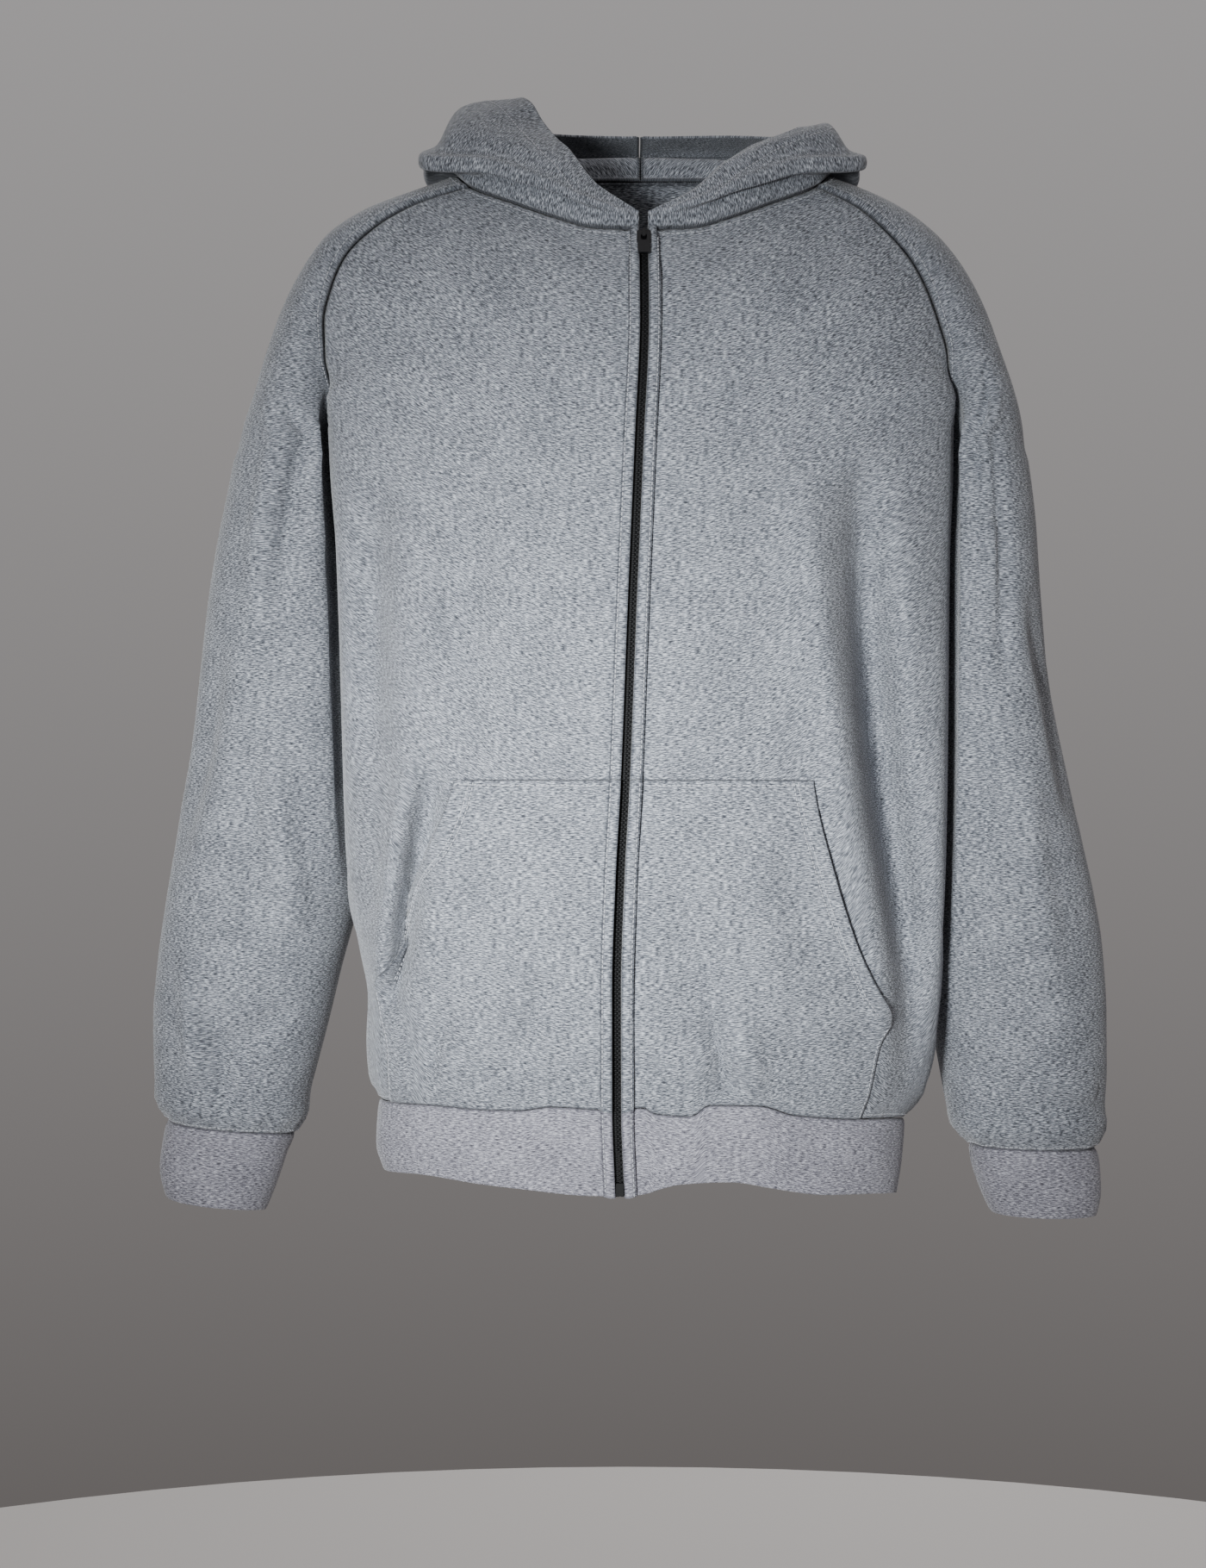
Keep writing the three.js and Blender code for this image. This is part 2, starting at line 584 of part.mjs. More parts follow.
// The hood, pushed back: from the neck seam the cloth rises, tucks under a roll, folds
// at the roll's outer edge and comes back up to the hemmed face edge by the neck.
// Each row is a section at a place t along the neck seam. It gives the direction out in
// degrees from the front, and the distance out and the height of each named point.
const HOOD = table('t turn baseO baseH tuckO tuckH foldO foldH rollO rollH creaseO creaseH bandO bandH', [
  [0, 10, 0.4, 2.5, 0.6, 4.5, 0.6, 6, 0.4, 7.5, 0.2, 9, -0.2, 10.5],
  [0.12, 22, 3, 8, 5, 12, 10, 14, 10, 18, 6, 20, 2, 24],
  [0.24, 34, 4, 12, 6, 17, 15, 17, 16, 24, 10, 29, 2, 40],
  [0.36, 46, 5, 12.5, 8, 17, 20, 17, 21, 26, 13, 30, 3, 42],
  [0.52, 64, 5.5, 9, 14, 9, 33, 8, 34, 17, 22, 22, 8, 40],
  [0.66, 95, 6, 10, 12, 10, 23, 3, 23, 14, 12, 22, -2, 48],
  [0.74, 126, 7, 12, 22, 5, 42, -3, 45, 9, 31, 18, 6, 46],
  [0.77, 140, 7, 13, 36, 1, 57, -16, 63, -2, 48, 8, 12, 44],
  [0.8, 150, 7, 15, 52, -8, 77, -66, 87, -50, 72, -12, 24, 40],
  [0.92, 168, 6, 17, 48, -58, 68, -172, 82, -150, 80, -62, 58, 30],
  [1, 180, 5, 18, 44, -72, 64, -212, 80, -188, 84, -90, 64, 30]]);
const HOOD_RIM = {
  right: table('t out high', [
    [0, -0.6, 12], [0.12, -3, 25], [0.24, -11, 43], [0.36, -20, 41], [0.52, -30, 36],
    [0.66, -35, 54], [0.8, 10, 58], [0.92, 34, 48], [1, 40, 44]]),
  left: table('t out high', [
    [0, -0.6, 12], [0.12, -3, 25], [0.24, -9, 40], [0.36, -14, 44], [0.52, -16, 44],
    [0.66, -12, 40], [0.8, 14, 44], [0.92, 34, 44], [1, 40, 44]]),
};

function hoodSection(side, t) {
  const names = ['base', 'tuck', 'fold', 'roll', 'crease', 'band'];
  const flat = names.map((name) => (
    new THREE.Vector3(read(HOOD, 't', t, `${name}O`), read(HOOD, 't', t, `${name}H`), 0)));
  const rim = HOOD_RIM[side];
  flat.push(new THREE.Vector3(read(rim, 't', t, 'out'), read(rim, 't', t, 'high'), 0));
  flat.unshift(new THREE.Vector3(0, 0, 0));
  const curve = new THREE.CatmullRomCurve3(flat, false, 'centripetal');
  const turn = THREE.MathUtils.degToRad(read(HOOD, 't', t, 'turn'));
  const neck = neckPoint(t);
  return even(HOOD_STEPS - 1).map((u) => {
    const spot = curve.getPoint(u);
    const out = neck.x + spot.x * Math.sin(turn);
    const y = neck.y - spot.x * Math.cos(turn);
    return new THREE.Vector3(Math.max(out, 0) * SIDES[side], y, neck.z + spot.y);
  });
}

function hoodRows(side) {
  const front = frontColumns(side, YOKE[0].front).map((t) => NECK_FRONT_SEAM * t);
  const crown = even(CREST_COLUMNS * 2).map(crownNeck);
  const back = backColumns().map((t) => 1 - (1 - NECK_BACK_SEAM) * t).reverse();
  const places = front.concat(crown.slice(1), back.slice(1));
  return places.map((t) => hoodSection(side, t));
}

// The garment, piece by piece

const COLOURS = { marl: 0x86868c, band: 0x8e8d95, black: 0x141418, metal: 0x1b1b1f };

function material(colour, roughness, metalness) {
  return new THREE.MeshStandardMaterial({ color: colour, roughness, metalness });
}

const garment = new THREE.Group();

function place(name, geometry, look) {
  const mesh = new THREE.Mesh(geometry, look);
  mesh.name = name;
  garment.add(mesh);
  return mesh;
}

const marl = () => material(COLOURS.marl, 0.95, 0);

// The cloth sheets, each with its outside facing out
const sheets = {
  back: faceOut(grid(backRows(), false), false),
  hem_band: faceOut(grid(hemRows(), false), false),
};
for (const side of ['right', 'left']) {
  const mirrored = side === 'right';
  sheets[`front_${side}`] = faceOut(grid(frontRows(side), false), !mirrored);
  sheets[`sleeve_${side}`] = faceOut(grid(sleeveRows(side), true), !mirrored);
  sheets[`cuff_${side}`] = faceOut(grid(cuffRows(side), true), !mirrored);
  sheets[`hood_${side}`] = faceOut(grid(hoodRows(side), false), !mirrored);
}
Object.values(sheets).forEach(weld);
for (const [name, sheet] of Object.entries(sheets)) {
  const isBand = name.includes('cuff') || name.includes('hem');
  place(name, wallOf(sheet, WALL, 0), isBand ? material(COLOURS.band, 0.95, 0) : marl());
}

// What lies on a front is made from the front's own points, moved out

function patch(side, rows, first, last) {
  const mirrored = side === 'right';
  return faceOut(grid(rows.map((row) => row.slice(first, last + 1)), false), !mirrored);
}

function hemFront(side) {
  return HEM_ROWS.map((z) => frontColumns(side, z).map((t) => bodyPoint(side, 'front', t, z)));
}

const LAYER = WALL + SEAM_GAP;
for (const side of ['right', 'left']) {
  const rows = frontRows(side);
  const chest = rows.slice(0, POCKET_ROW + 1);
  const pocket = rows.slice(POCKET_ROW);
  place(`pocket_${side}`, wallOf(patch(side, pocket, 0, POCKET_COLUMNS + 1), WALL, LAYER), marl());
  place(`strip_chest_${side}`, wallOf(patch(side, chest, 0, 1), WALL, LAYER), marl());
  place(`strip_pocket_${side}`, wallOf(patch(side, pocket, 0, 1), WALL, LAYER * 2), marl());
  place(`strip_hem_${side}`, wallOf(patch(side, hemFront(side), 0, 1), WALL, LAYER), marl());
}

// The black tape of each zip half lies behind the front's edge and meets the other half
const TAPE_REACH = ZIP_EDGE - 0.4;
for (const side of ['right', 'left']) {
  const rows = frontRows(side).concat(hemFront(side).slice(1)).map((row) => {
    const edge = row[0].clone();
    edge.x -= TAPE_REACH * SIDES[side];
    const normal = shared.get(keyOf(row[0])).clone().normalize();
    shared.set(keyOf(edge), normal);
    return [edge, row[0], row[1]];
  });
  place(`zip_tape_${side}`, wallOf(patch(side, rows, 0, 2), TAPE_WALL, -LAYER), material(COLOURS.black, 0.8, 0));
}

// The slider, its pull tab and the zip's box: small hard pieces on the line of the zip.
// The zip leans forward at the neck by this angle, and the slider lies along it.
const ZIP_LEAN = THREE.MathUtils.degToRad(30);
const FOOT_LEAN = 0.1;
const SLIDER = { z: -67, wide: 9.6, high: 11, deep: 2.6, corner: 2, stem: 5 };
const BRIDGE = { wide: 2.2, long: 7, leg: 1.4, tunnel: 3, bar: 1.2, sunk: 0.2 };
const PULL = { wide: 8.4, long: 17, thick: 1.5, corner: 1.4, hole: 4.2, holeLong: 4.4, bar: 1.6 };
const BOX = { z: -715, wide: 5.2, high: 9, deep: 4 };

function slab(wide, high, deep, corner, hole) {
  const shape = new THREE.Shape();
  const [x, y] = [wide / 2, high / 2];
  shape.moveTo(-x + corner, -y);
  shape.lineTo(x - corner, -y);
  shape.absarc(x - corner, -y + corner, corner, -Math.PI / 2, 0, false);
  shape.lineTo(x, y - corner);
  shape.absarc(x - corner, y - corner, corner, 0, Math.PI / 2, false);
  shape.lineTo(-x + corner, y);
  shape.absarc(-x + corner, y - corner, corner, Math.PI / 2, Math.PI, false);
  shape.lineTo(-x, -y + corner);
  shape.absarc(-x + corner, -y + corner, corner, Math.PI, Math.PI * 1.5, false);
  if (hole) shape.holes.push(hole);
  return new THREE.ExtrudeGeometry(shape, { depth: deep, bevelEnabled: false, curveSegments: 4 });
}

function solidOf(geometry) {
  const bare = geometry.clone();
  bare.deleteAttribute('normal');
  bare.deleteAttribute('uv');
  const merged = mergeVertices(bare, 1e-3);
  const mesh = new wasm.Mesh({
    numProp: 3,
    vertProperties: new Float32Array(merged.attributes.position.array),
    triVerts: new Uint32Array(merged.index.array),
  });
  return new wasm.Manifold(mesh);
}

function geometryOf(solid) {
  const mesh = solid.getMesh();
  const geometry = new THREE.BufferGeometry();
  geometry.setAttribute('position', new THREE.Float32BufferAttribute(mesh.vertProperties, 3));
  geometry.setIndex(Array.from(mesh.triVerts));
  return geometry;
}

// The arch that the pull tab hangs on: drawn from the side, then stood across the slider
function bridgeArch() {
  const [x, tunnel] = [BRIDGE.long / 2, BRIDGE.long / 2 - BRIDGE.leg];
  const top = BRIDGE.tunnel + BRIDGE.bar;
  const shape = new THREE.Shape([
    [-x, -BRIDGE.sunk], [-tunnel, -BRIDGE.sunk], [-tunnel, BRIDGE.tunnel], [tunnel, BRIDGE.tunnel],
    [tunnel, -BRIDGE.sunk], [x, -BRIDGE.sunk], [x, top], [-x, top]].map((p) => new THREE.Vector2(...p)));
  const arch = new THREE.ExtrudeGeometry(shape, { depth: BRIDGE.wide, bevelEnabled: false });
  arch.translate(0, 0, -BRIDGE.wide / 2);
  const across = new THREE.Matrix4().makeBasis(
    new THREE.Vector3(0, 1, 0), new THREE.Vector3(0, 0, 1), new THREE.Vector3(1, 0, 0));
  return arch.applyMatrix4(across);
}

const PLATE_AT = LAYER + SEAM_GAP;
const PLATE_TOP = PLATE_AT + SLIDER.deep;
const STEM_AT = -LAYER + SEAM_GAP;

const hardware = new THREE.Group();
hardware.position.set(read(ZIP_LINE, 'z', SLIDER.z, 'x'), read(MIDDLE_FRONT, 'z', SLIDER.z, 'y'), SLIDER.z);
hardware.rotation.x = Math.PI / 2 - ZIP_LEAN;
garment.add(hardware);

const plate = slab(SLIDER.wide, SLIDER.high, SLIDER.deep, SLIDER.corner).translate(0, 0, PLATE_AT);
const stem = slab(SLIDER.stem, SLIDER.high - 2, PLATE_AT - STEM_AT + 0.5, 1).translate(0, 0, STEM_AT);
const arch = bridgeArch().translate(0, 0, PLATE_TOP);
const slider = solidOf(plate).add(solidOf(stem)).add(solidOf(arch));
const sliderMesh = new THREE.Mesh(geometryOf(slider), material(COLOURS.metal, 0.45, 0.5));
sliderMesh.name = 'zip_slider';
hardware.add(sliderMesh);

// The tab's cross bar lies in the arch, on the hinge axis
const hole = new THREE.Path([
  [-PULL.hole / 2, -PULL.holeLong], [-PULL.hole / 2, 0], [PULL.hole / 2, 0], [PULL.hole / 2, -PULL.holeLong],
].map((p) => new THREE.Vector2(p[0], p[1] + PULL.long / 2 - PULL.bar)));
const tab = slab(PULL.wide, PULL.long, PULL.thick, PULL.corner, hole);
tab.translate(0, PULL.bar / 2 - PULL.long / 2, PLATE_TOP + BRIDGE.tunnel / 2 - PULL.thick / 2);
const pullMesh = new THREE.Mesh(tab, material(COLOURS.metal, 0.5, 0.4));
pullMesh.name = 'zip_pull';
hardware.add(pullMesh);

const foot = new THREE.Group();
foot.position.set(read(ZIP_LINE, 'z', BOX.z, 'x'), read(MIDDLE_FRONT, 'z', BOX.z, 'y'), BOX.z);
foot.rotation.x = Math.PI / 2 + FOOT_LEAN;
const boxMesh = new THREE.Mesh(slab(BOX.wide, BOX.high, BOX.deep, 0.8), material(COLOURS.black, 0.6, 0));
boxMesh.geometry.translate(0, 0, STEM_AT);
boxMesh.name = 'zip_box';
foot.add(boxMesh);
garment.add(foot);

export default garment;
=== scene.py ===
# %% [markdown]
# A zip-up hoodie in its worn shape
#
# This lesson dresses the plain solids of a hoodie as real fleece. Each cut piece is
# made again as a thin wall of cloth on a much finer net, with its folds, seams and
# stitches, and each finish is worked out from numbers, with no pictures. The first
# cell loads the solids, which fix every size and place.

# %% Load the frame
import json
import math

import bpy
import numpy as np
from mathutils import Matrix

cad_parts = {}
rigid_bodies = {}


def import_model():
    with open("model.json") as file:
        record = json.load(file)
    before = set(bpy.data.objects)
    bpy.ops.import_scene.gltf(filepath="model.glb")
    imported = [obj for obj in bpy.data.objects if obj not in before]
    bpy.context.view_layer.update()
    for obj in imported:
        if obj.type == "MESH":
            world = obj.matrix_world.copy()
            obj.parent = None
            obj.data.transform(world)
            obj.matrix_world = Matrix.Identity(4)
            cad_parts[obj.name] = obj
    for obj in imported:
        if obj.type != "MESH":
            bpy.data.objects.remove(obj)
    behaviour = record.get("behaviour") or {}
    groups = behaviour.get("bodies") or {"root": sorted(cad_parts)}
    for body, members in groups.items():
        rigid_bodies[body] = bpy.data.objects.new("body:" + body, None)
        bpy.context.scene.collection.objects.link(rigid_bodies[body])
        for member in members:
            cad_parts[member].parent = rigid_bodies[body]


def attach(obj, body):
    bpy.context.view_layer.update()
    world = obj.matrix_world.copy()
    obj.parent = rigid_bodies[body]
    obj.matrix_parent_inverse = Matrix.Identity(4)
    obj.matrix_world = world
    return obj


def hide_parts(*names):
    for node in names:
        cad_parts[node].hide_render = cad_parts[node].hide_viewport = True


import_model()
bpy.context.view_layer.update()
MM = 0.001

# %% [markdown]
# The camera first. The picture was taken level, from about two metres, with the axis
# a little to the wearer's right of the zip. A 64 mm lens on a 36 mm frame gives that view.

# %% The camera
CAMERA_PLACE = (-0.0279, -2.0, -0.44)
CAMERA_LENS = 63.8
camera_data = bpy.data.cameras.new("camera")
camera_data.lens = CAMERA_LENS
camera_data.sensor_width = 36
camera = bpy.data.objects.new("camera", camera_data)
camera.location = CAMERA_PLACE
camera.rotation_euler = (math.radians(90), 0, 0)
bpy.context.scene.collection.objects.link(camera)
bpy.context.scene.camera = camera
print("camera at", CAMERA_PLACE, "with a lens of", CAMERA_LENS, "mm")

# %% [markdown]
# Every form below is a loft: a table gives a few sections, and smooth curves fill in
# between them. `read` is the smooth value of one column of a table. Its curve never
# swings past the numbers, so a sleeve can't bulge where no row says so. `bell` is the
# soft hump that all folds, grooves and gathers are made of.

# %% Tables and curves
def table(names, rows):
    """Columns by name, each a list with one number for each row."""
    return {name: np.array([row[i] for row in rows], float) for i, name in enumerate(names.split())}


def read(rows, by, at, key):
    """The smooth value of a column where the column `by` is `at`, with no overshoot."""
    x, y = rows[by], rows[key]
    if x[-1] < x[0]:
        x, y = x[::-1], y[::-1]
    slopes = np.diff(y) / np.diff(x)
    tangents = np.empty(len(x))
    tangents[0], tangents[-1] = slopes[0], slopes[-1]
    product = slopes[:-1] * slopes[1:]
    total = slopes[:-1] + slopes[1:]
    safe = np.where(product > 0, total, 1)
    tangents[1:-1] = np.where(product > 0, 2 * product / safe, 0)
    i = np.clip(np.searchsorted(x, at) - 1, 0, len(x) - 2)
    span = x[i + 1] - x[i]
    t = np.clip((at - x[i]) / span, 0, 1)
    rise = tangents[i] * span * t * (1 - t) ** 2 + tangents[i + 1] * span * t * t * (t - 1)
    return y[i] * (1 + 2 * t) * (1 - t) ** 2 + y[i + 1] * t * t * (3 - 2 * t) + rise


def bezier(p, t):
    s = 1 - t
    return p[0] * s ** 3 + 3 * p[1] * s * s * t + 3 * p[2] * s * t * t + p[3] * t ** 3


def step(x, low, high):
    t = np.clip((x - low) / (high - low), 0, 1)
    return t * t * (3 - 2 * t)


def mix(a, b, t):
    return a + (b - a) * t


def bell(x, width):
    return np.exp(-(x / width) ** 2)


print("a smooth step half way is", float(step(0.5, 0, 1)))

# %% [markdown]
# The sizes of the worn body, in millimetres, as the solids have them. "out" is the
# distance from the middle plane, for either side. The side seam is pressed inwards,
# because the sleeve hangs against it.

# %% Sizes of the body
WALL = 2.2
SEAM_GAP = 0.3
LAYER = WALL + SEAM_GAP
ZIP_EDGE = 3.0
STRIP_WIDTH = 8.4
UNDERARM_Z = -190
HEM_SEAM_Z = -662
HEM_BOTTOM_Z = -721
POCKET_TOP_Z = -437
SIDES = {"right": -1, "left": 1}

MIDDLE = {
    "front": table("z y", [
        [-57, -85], [-90, -104], [-120, -115], [-200, -131], [-300, -137], [-450, -136],
        [-560, -131], [-630, -124], [-662, -118], [-690, -117], [-721, -114]]),
    "back": table("z y", [
        [8, 70], [-50, 98], [-120, 114], [-200, 118], [-300, 113], [-450, 111],
        [-600, 113], [-645, 110], [-662, 105], [-690, 104], [-721, 102]]),
}
ZIP_LINE = table("z x", [
    [-57, 0], [-120, 0.4], [-207, -3.3], [-320, -8.2], [-440, -12.9], [-503, -16.3],
    [-580, -18.7], [-662, -18.5], [-721, -16.3]])
BODY_SIDE = {
    "right": table("z edge seam y", [
        [-190, 222, 197, 15], [-230, 220, 194, 18], [-273, 217, 191, 20], [-347, 214, 190, 22],
        [-422, 212, 190, 24], [-490, 210, 191, 22], [-521, 208, 193, 18], [-558, 200, 191, 12],
        [-589, 195, 189, 8], [-620, 196, 191, 6], [-648, 194, 190, 5], [-662, 187, 183, 5],
        [-676, 188, 184, 5], [-700, 189, 185, 5], [-721, 184, 180, 5]]),
    "left": table("z edge seam y", [
        [-190, 220, 197, 15], [-230, 219, 194, 18], [-279, 217, 191, 20], [-372, 216, 190, 22],
        [-465, 215, 190, 24], [-546, 213, 192, 20], [-600, 210, 195, 14], [-630, 205, 195, 9],
        [-648, 199, 193, 6], [-662, 187, 183, 5], [-676, 186, 182, 5], [-700, 184, 180, 5],
        [-721, 181, 177, 5]]),
}
BACK_NARROWER = 14
FLAT_SHARE = 0.6
TURN_SHARE = 0.68
DROOP_POWER = 1.6
DROOP_FROM = 420
HEM_DROOP = {"right": 1, "left": 17}
NECK = table("t out y z", [
    [0, 3, -85, -57], [0.12, 32, -83, -56], [0.24, 62, -76, -47], [0.36, 88, -66, -36],
    [0.52, 122, -50, -20], [0.66, 133, 0, -2], [0.82, 95, 48, 2], [0.92, 50, 66, 7],
    [1, 0, 70, 8]])
NECK_FRONT_SEAM = 0.52
NECK_CREST = 0.66
NECK_BACK_SEAM = 0.82
print("hem at", HEM_BOTTOM_Z, "mm, back neck seam at", NECK["z"][-1], "mm")

# %% [markdown]
# The raglan seams run from the neck to the underarm, and the sleeve spans from the
# front seam over the crest of the shoulder to the back seam. Rows 0 to 9 go from the
# neck seam down to the underarm point, where body and sleeve part.

# %% Sizes of the shoulders and sleeves
RAGLAN = {
    ("right", "front"): table("row out y z", [
        [0, 122, -50, -20], [1, 157, -58, -33], [2, 188, -63, -52], [3, 208, -65, -73],
        [4, 218, -64, -96], [5, 223, -60, -118], [6, 223, -52, -140], [7, 219, -36, -162],
        [8, 209, -10, -181], [9, 197, 15, UNDERARM_Z]]),
    ("left", "front"): table("row out y z", [
        [0, 122, -50, -20], [1, 149, -57, -35], [2, 170, -61, -54], [3, 187, -64, -75],
        [4, 198, -63, -95], [5, 207, -60, -118], [6, 214, -52, -140], [7, 216, -36, -162],
        [8, 208, -10, -181], [9, 197, 15, UNDERARM_Z]]),
}
RAGLAN_BACK = table("row out y z", [
    [0, 95, 48, 2], [1, 126, 66, -10], [2, 153, 79, -28], [3, 176, 87, -50], [4, 194, 90, -76],
    [5, 206, 88, -104], [6, 213, 81, -132], [7, 213, 66, -158], [8, 207, 41, -180],
    [9, 197, 15, UNDERARM_Z]])
for side in SIDES:
    RAGLAN[side, "back"] = RAGLAN_BACK
CREST = {
    "right": table("row out y z", [
        [0, 133, 0, -2], [1, 165, 1, -15], [2, 196, 3, -28], [3, 223, 6, -46], [4, 245, 9, -74],
        [5, 260, 11, -103], [6, 271, 13, -133], [7, 280, 15, -163], [8, 287, 16, -184],
        [9, 291, 17, -200]]),
    "left": table("row out y z", [
        [0, 133, 0, -2], [1, 159, 1, -13], [2, 185, 3, -26], [3, 212, 6, -47], [4, 231, 9, -70],
        [5, 246, 11, -98], [6, 257, 13, -128], [7, 267, 15, -158], [8, 273, 16, -181],
        [9, 276, 17, -201]]),
}
YOKE = table("row front back turn swell rise crown", [
    [0, -57, 8, 28, 8, 4, 22], [1, -70, -8, 30, 12, 8, 26], [2, -84, -26, 33, 15, 10, 30],
    [3, -98, -46, 38, 17, 13, 36], [4, -112, -68, 44, 18, 17, 44], [5, -127, -92, 52, 18, 22, 54],
    [6, -142, -118, 62, 17, 32, 66], [7, -158, -144, 76, 17, 52, 84],
    [8, -174, -168, 92, 14, 82, 101], [9, -190, -190, 104, 0, 112, 112]])
YOKE_ROWS = 9
SLEEVE = {
    "right": table("z out inner y deep", [
        [-190, 291, 197, 17, 84], [-225, 298, 197, 18, 84], [-267, 307, 197, 20, 83],
        [-310, 314, 198, 22, 82], [-360, 320, 198, 24, 81], [-415, 327, 198, 26, 79],
        [-459, 335, 198, 27, 77], [-496, 341, 201, 28, 75], [-533, 347, 208, 28, 73],
        [-570, 352, 218, 28, 70], [-608, 355, 228, 27, 66], [-645, 354, 239, 25, 61],
        [-668, 350, 246, 24, 54], [-682, 344, 252, 23, 46]]),
    "left": table("z out inner y deep", [
        [-190, 276, 197, 17, 84], [-248, 284, 198, 19, 84], [-298, 288, 198, 21, 82],
        [-347, 293, 198, 23, 81], [-391, 301, 198, 25, 79], [-434, 310, 198, 26, 78],
        [-477, 319, 199, 27, 76], [-521, 329, 200, 28, 74], [-558, 335, 203, 28, 72],
        [-608, 338, 211, 27, 68], [-645, 338, 217, 25, 63], [-676, 336, 223, 24, 56],
        [-692, 334, 230, 23, 50], [-703, 330, 239, 23, 45]]),
}
CUFF = {
    "right": table("z out inner y deep", [
        [0, 344, 252, 23, 45], [12, 347, 257, 23, 42], [36, 350, 265, 22, 37],
        [56, 346, 273, 22, 33]]),
    "left": table("z out inner y deep", [
        [0, 330, 239, 23, 44], [12, 333, 240, 23, 42], [32, 334, 246, 22, 37],
        [50, 331, 254, 22, 33]]),
}
CUFF_SLOPE = {"right": 12, "left": -2}
print("cuff seams at", SLEEVE["right"]["z"][-1], "and", SLEEVE["left"]["z"][-1], "mm")

# %% [markdown]
# A row of the front or back is one smooth curve with four control points, from the
# middle to the side seam. Its third point is pushed out until the row just reaches
# the widest edge, so the body rounds past the seam that the sleeve presses in.

# %% Rows of the body
def reach_edge(outs, edge):
    """The third control value with which the row just reaches the edge."""
    t = np.arange(0.5, 1.001, 0.01)
    low, high = outs[3], outs[3] + 120
    for _ in range(24):
        half = (low + high) / 2
        most = bezier([outs[0], outs[1], half, outs[3]], t).max()
        low, high = (low, half) if most > edge else (half, high)
    return half


row_store = {}


def body_row(side, face, z):
    """The control values of a row below the underarm."""
    key = (side, face, round(float(z), 3))
    if key in row_store:
        return row_store[key]
    middle = float(read(MIDDLE[face], "z", z, "y"))
    start = 0.0
    if face == "front":
        start = float(read(ZIP_LINE, "z", z, "x")) * SIDES[side] + ZIP_EDGE
    rows = BODY_SIDE[side]
    seam, seam_y = float(read(rows, "z", z, "seam")), float(read(rows, "z", z, "y"))
    edge = float(read(rows, "z", z, "edge")) - (BACK_NARROWER if face == "back" else 0)
    outs = [start, start + FLAT_SHARE * (seam - start), seam, seam]
    outs[2] = reach_edge(outs, edge)
    ys = [middle, middle, seam_y - TURN_SHARE * (seam_y - middle), seam_y]
    row_store[key] = (outs, ys)
    return row_store[key]


def row_reach(outs, ys, y):
    """How far out a row reaches at the depths y."""
    t = np.linspace(0, 1, 400)
    rise = 1 if ys[3] > ys[0] else -1
    reach = np.interp(rise * np.asarray(y), rise * bezier(ys, t), bezier(outs, t))
    return np.where((y - ys[0]) * rise < 0, 0, reach)


def body_reach(side, y, z):
    """How far out the body reaches, for arrays of depths and heights."""
    levels = np.unique(np.round(z, 1))
    reach = np.zeros(np.shape(y))
    seam_y = read(BODY_SIDE[side], "z", z, "y")
    for level in levels:
        here = np.abs(z - level) <= 0.0501
        for face in ("front", "back"):
            chosen = here & ((y < seam_y) if face == "front" else (y >= seam_y))
            if chosen.any():
                reach[chosen] = row_reach(*body_row(side, face, level), y[chosen])
    return reach


def neck_point(t):
    return np.stack([read(NECK, "t", t, key) for key in ("out", "y", "z")], -1)


print("a row at the chest:", [round(v, 1) for v in body_row("right", "front", -300)[0]])

# %% [markdown]
# Above the underarm each row runs up to the raglan seam. The first three rows take up
# the true curve of the neck seam. Near the armpit the body bulges past its seam, and
# the sleeve then keeps clear of it, as two cloths that touch along a crease.

# %% Rows of the shoulders
TURNING = (6, 7.5)
CREASE_CLEAR = 2.8
CREASE_RUN = 12
CREASE_ROW = 6
NECK_ROWS = 3
yoke_store = {}


def yoke_row(side, face, row):
    """Control values, height at the middle and seam point of a row above the underarm."""
    key = (side, face, round(float(row), 4))
    if key in yoke_store:
        return yoke_store[key]
    seam = [float(read(RAGLAN[side, face], "row", row, name)) for name in ("out", "y", "z")]
    z0 = float(read(YOKE, "row", row, face))
    middle = float(read(MIDDLE[face], "z", z0, "y"))
    start = 0.0
    if face == "front":
        start = float(read(ZIP_LINE, "z", z0, "x")) * SIDES[side] + ZIP_EDGE
    low = row / YOKE_ROWS
    reach = mix(0.6, TURN_SHARE, low) * (seam[1] - middle)
    turn = math.radians(float(read(YOKE, "row", row, "turn")))
    back = min(abs(reach) / math.tan(turn), 0.45 * (seam[0] - start))
    outs = [start, start + mix(0.5, FLAT_SHARE, low) * (seam[0] - start), seam[0] - back, seam[0]]
    edge = BODY_SIDE[side]["edge"][0] - (BACK_NARROWER if face == "back" else 0)
    if edge > seam[0]:
        widest = max(outs[2], reach_edge(outs, edge))
        outs[2] = mix(outs[2], widest, float(step(row, *TURNING)))
    ys = [middle, middle, seam[1] - reach, seam[1]]
    yoke_store[key] = (outs, ys, z0, seam)
    return yoke_store[key]


def yoke_curve(side, face, t, row):
    outs, ys, z0, seam = yoke_row(side, face, row)
    return np.stack([bezier(outs, t), bezier(ys, t), mix(z0, seam[2], t ** DROOP_POWER)], -1)


def yoke_point(side, face, t, row):
    """Points of one row, as (out, y, z)."""
    at = NECK_FRONT_SEAM * t if face == "front" else 1 - (1 - NECK_BACK_SEAM) * t
    fade = max(0, 1 - row / NECK_ROWS)
    return yoke_curve(side, face, t, row) + fade * (neck_point(at) - yoke_curve(side, face, t, 0))


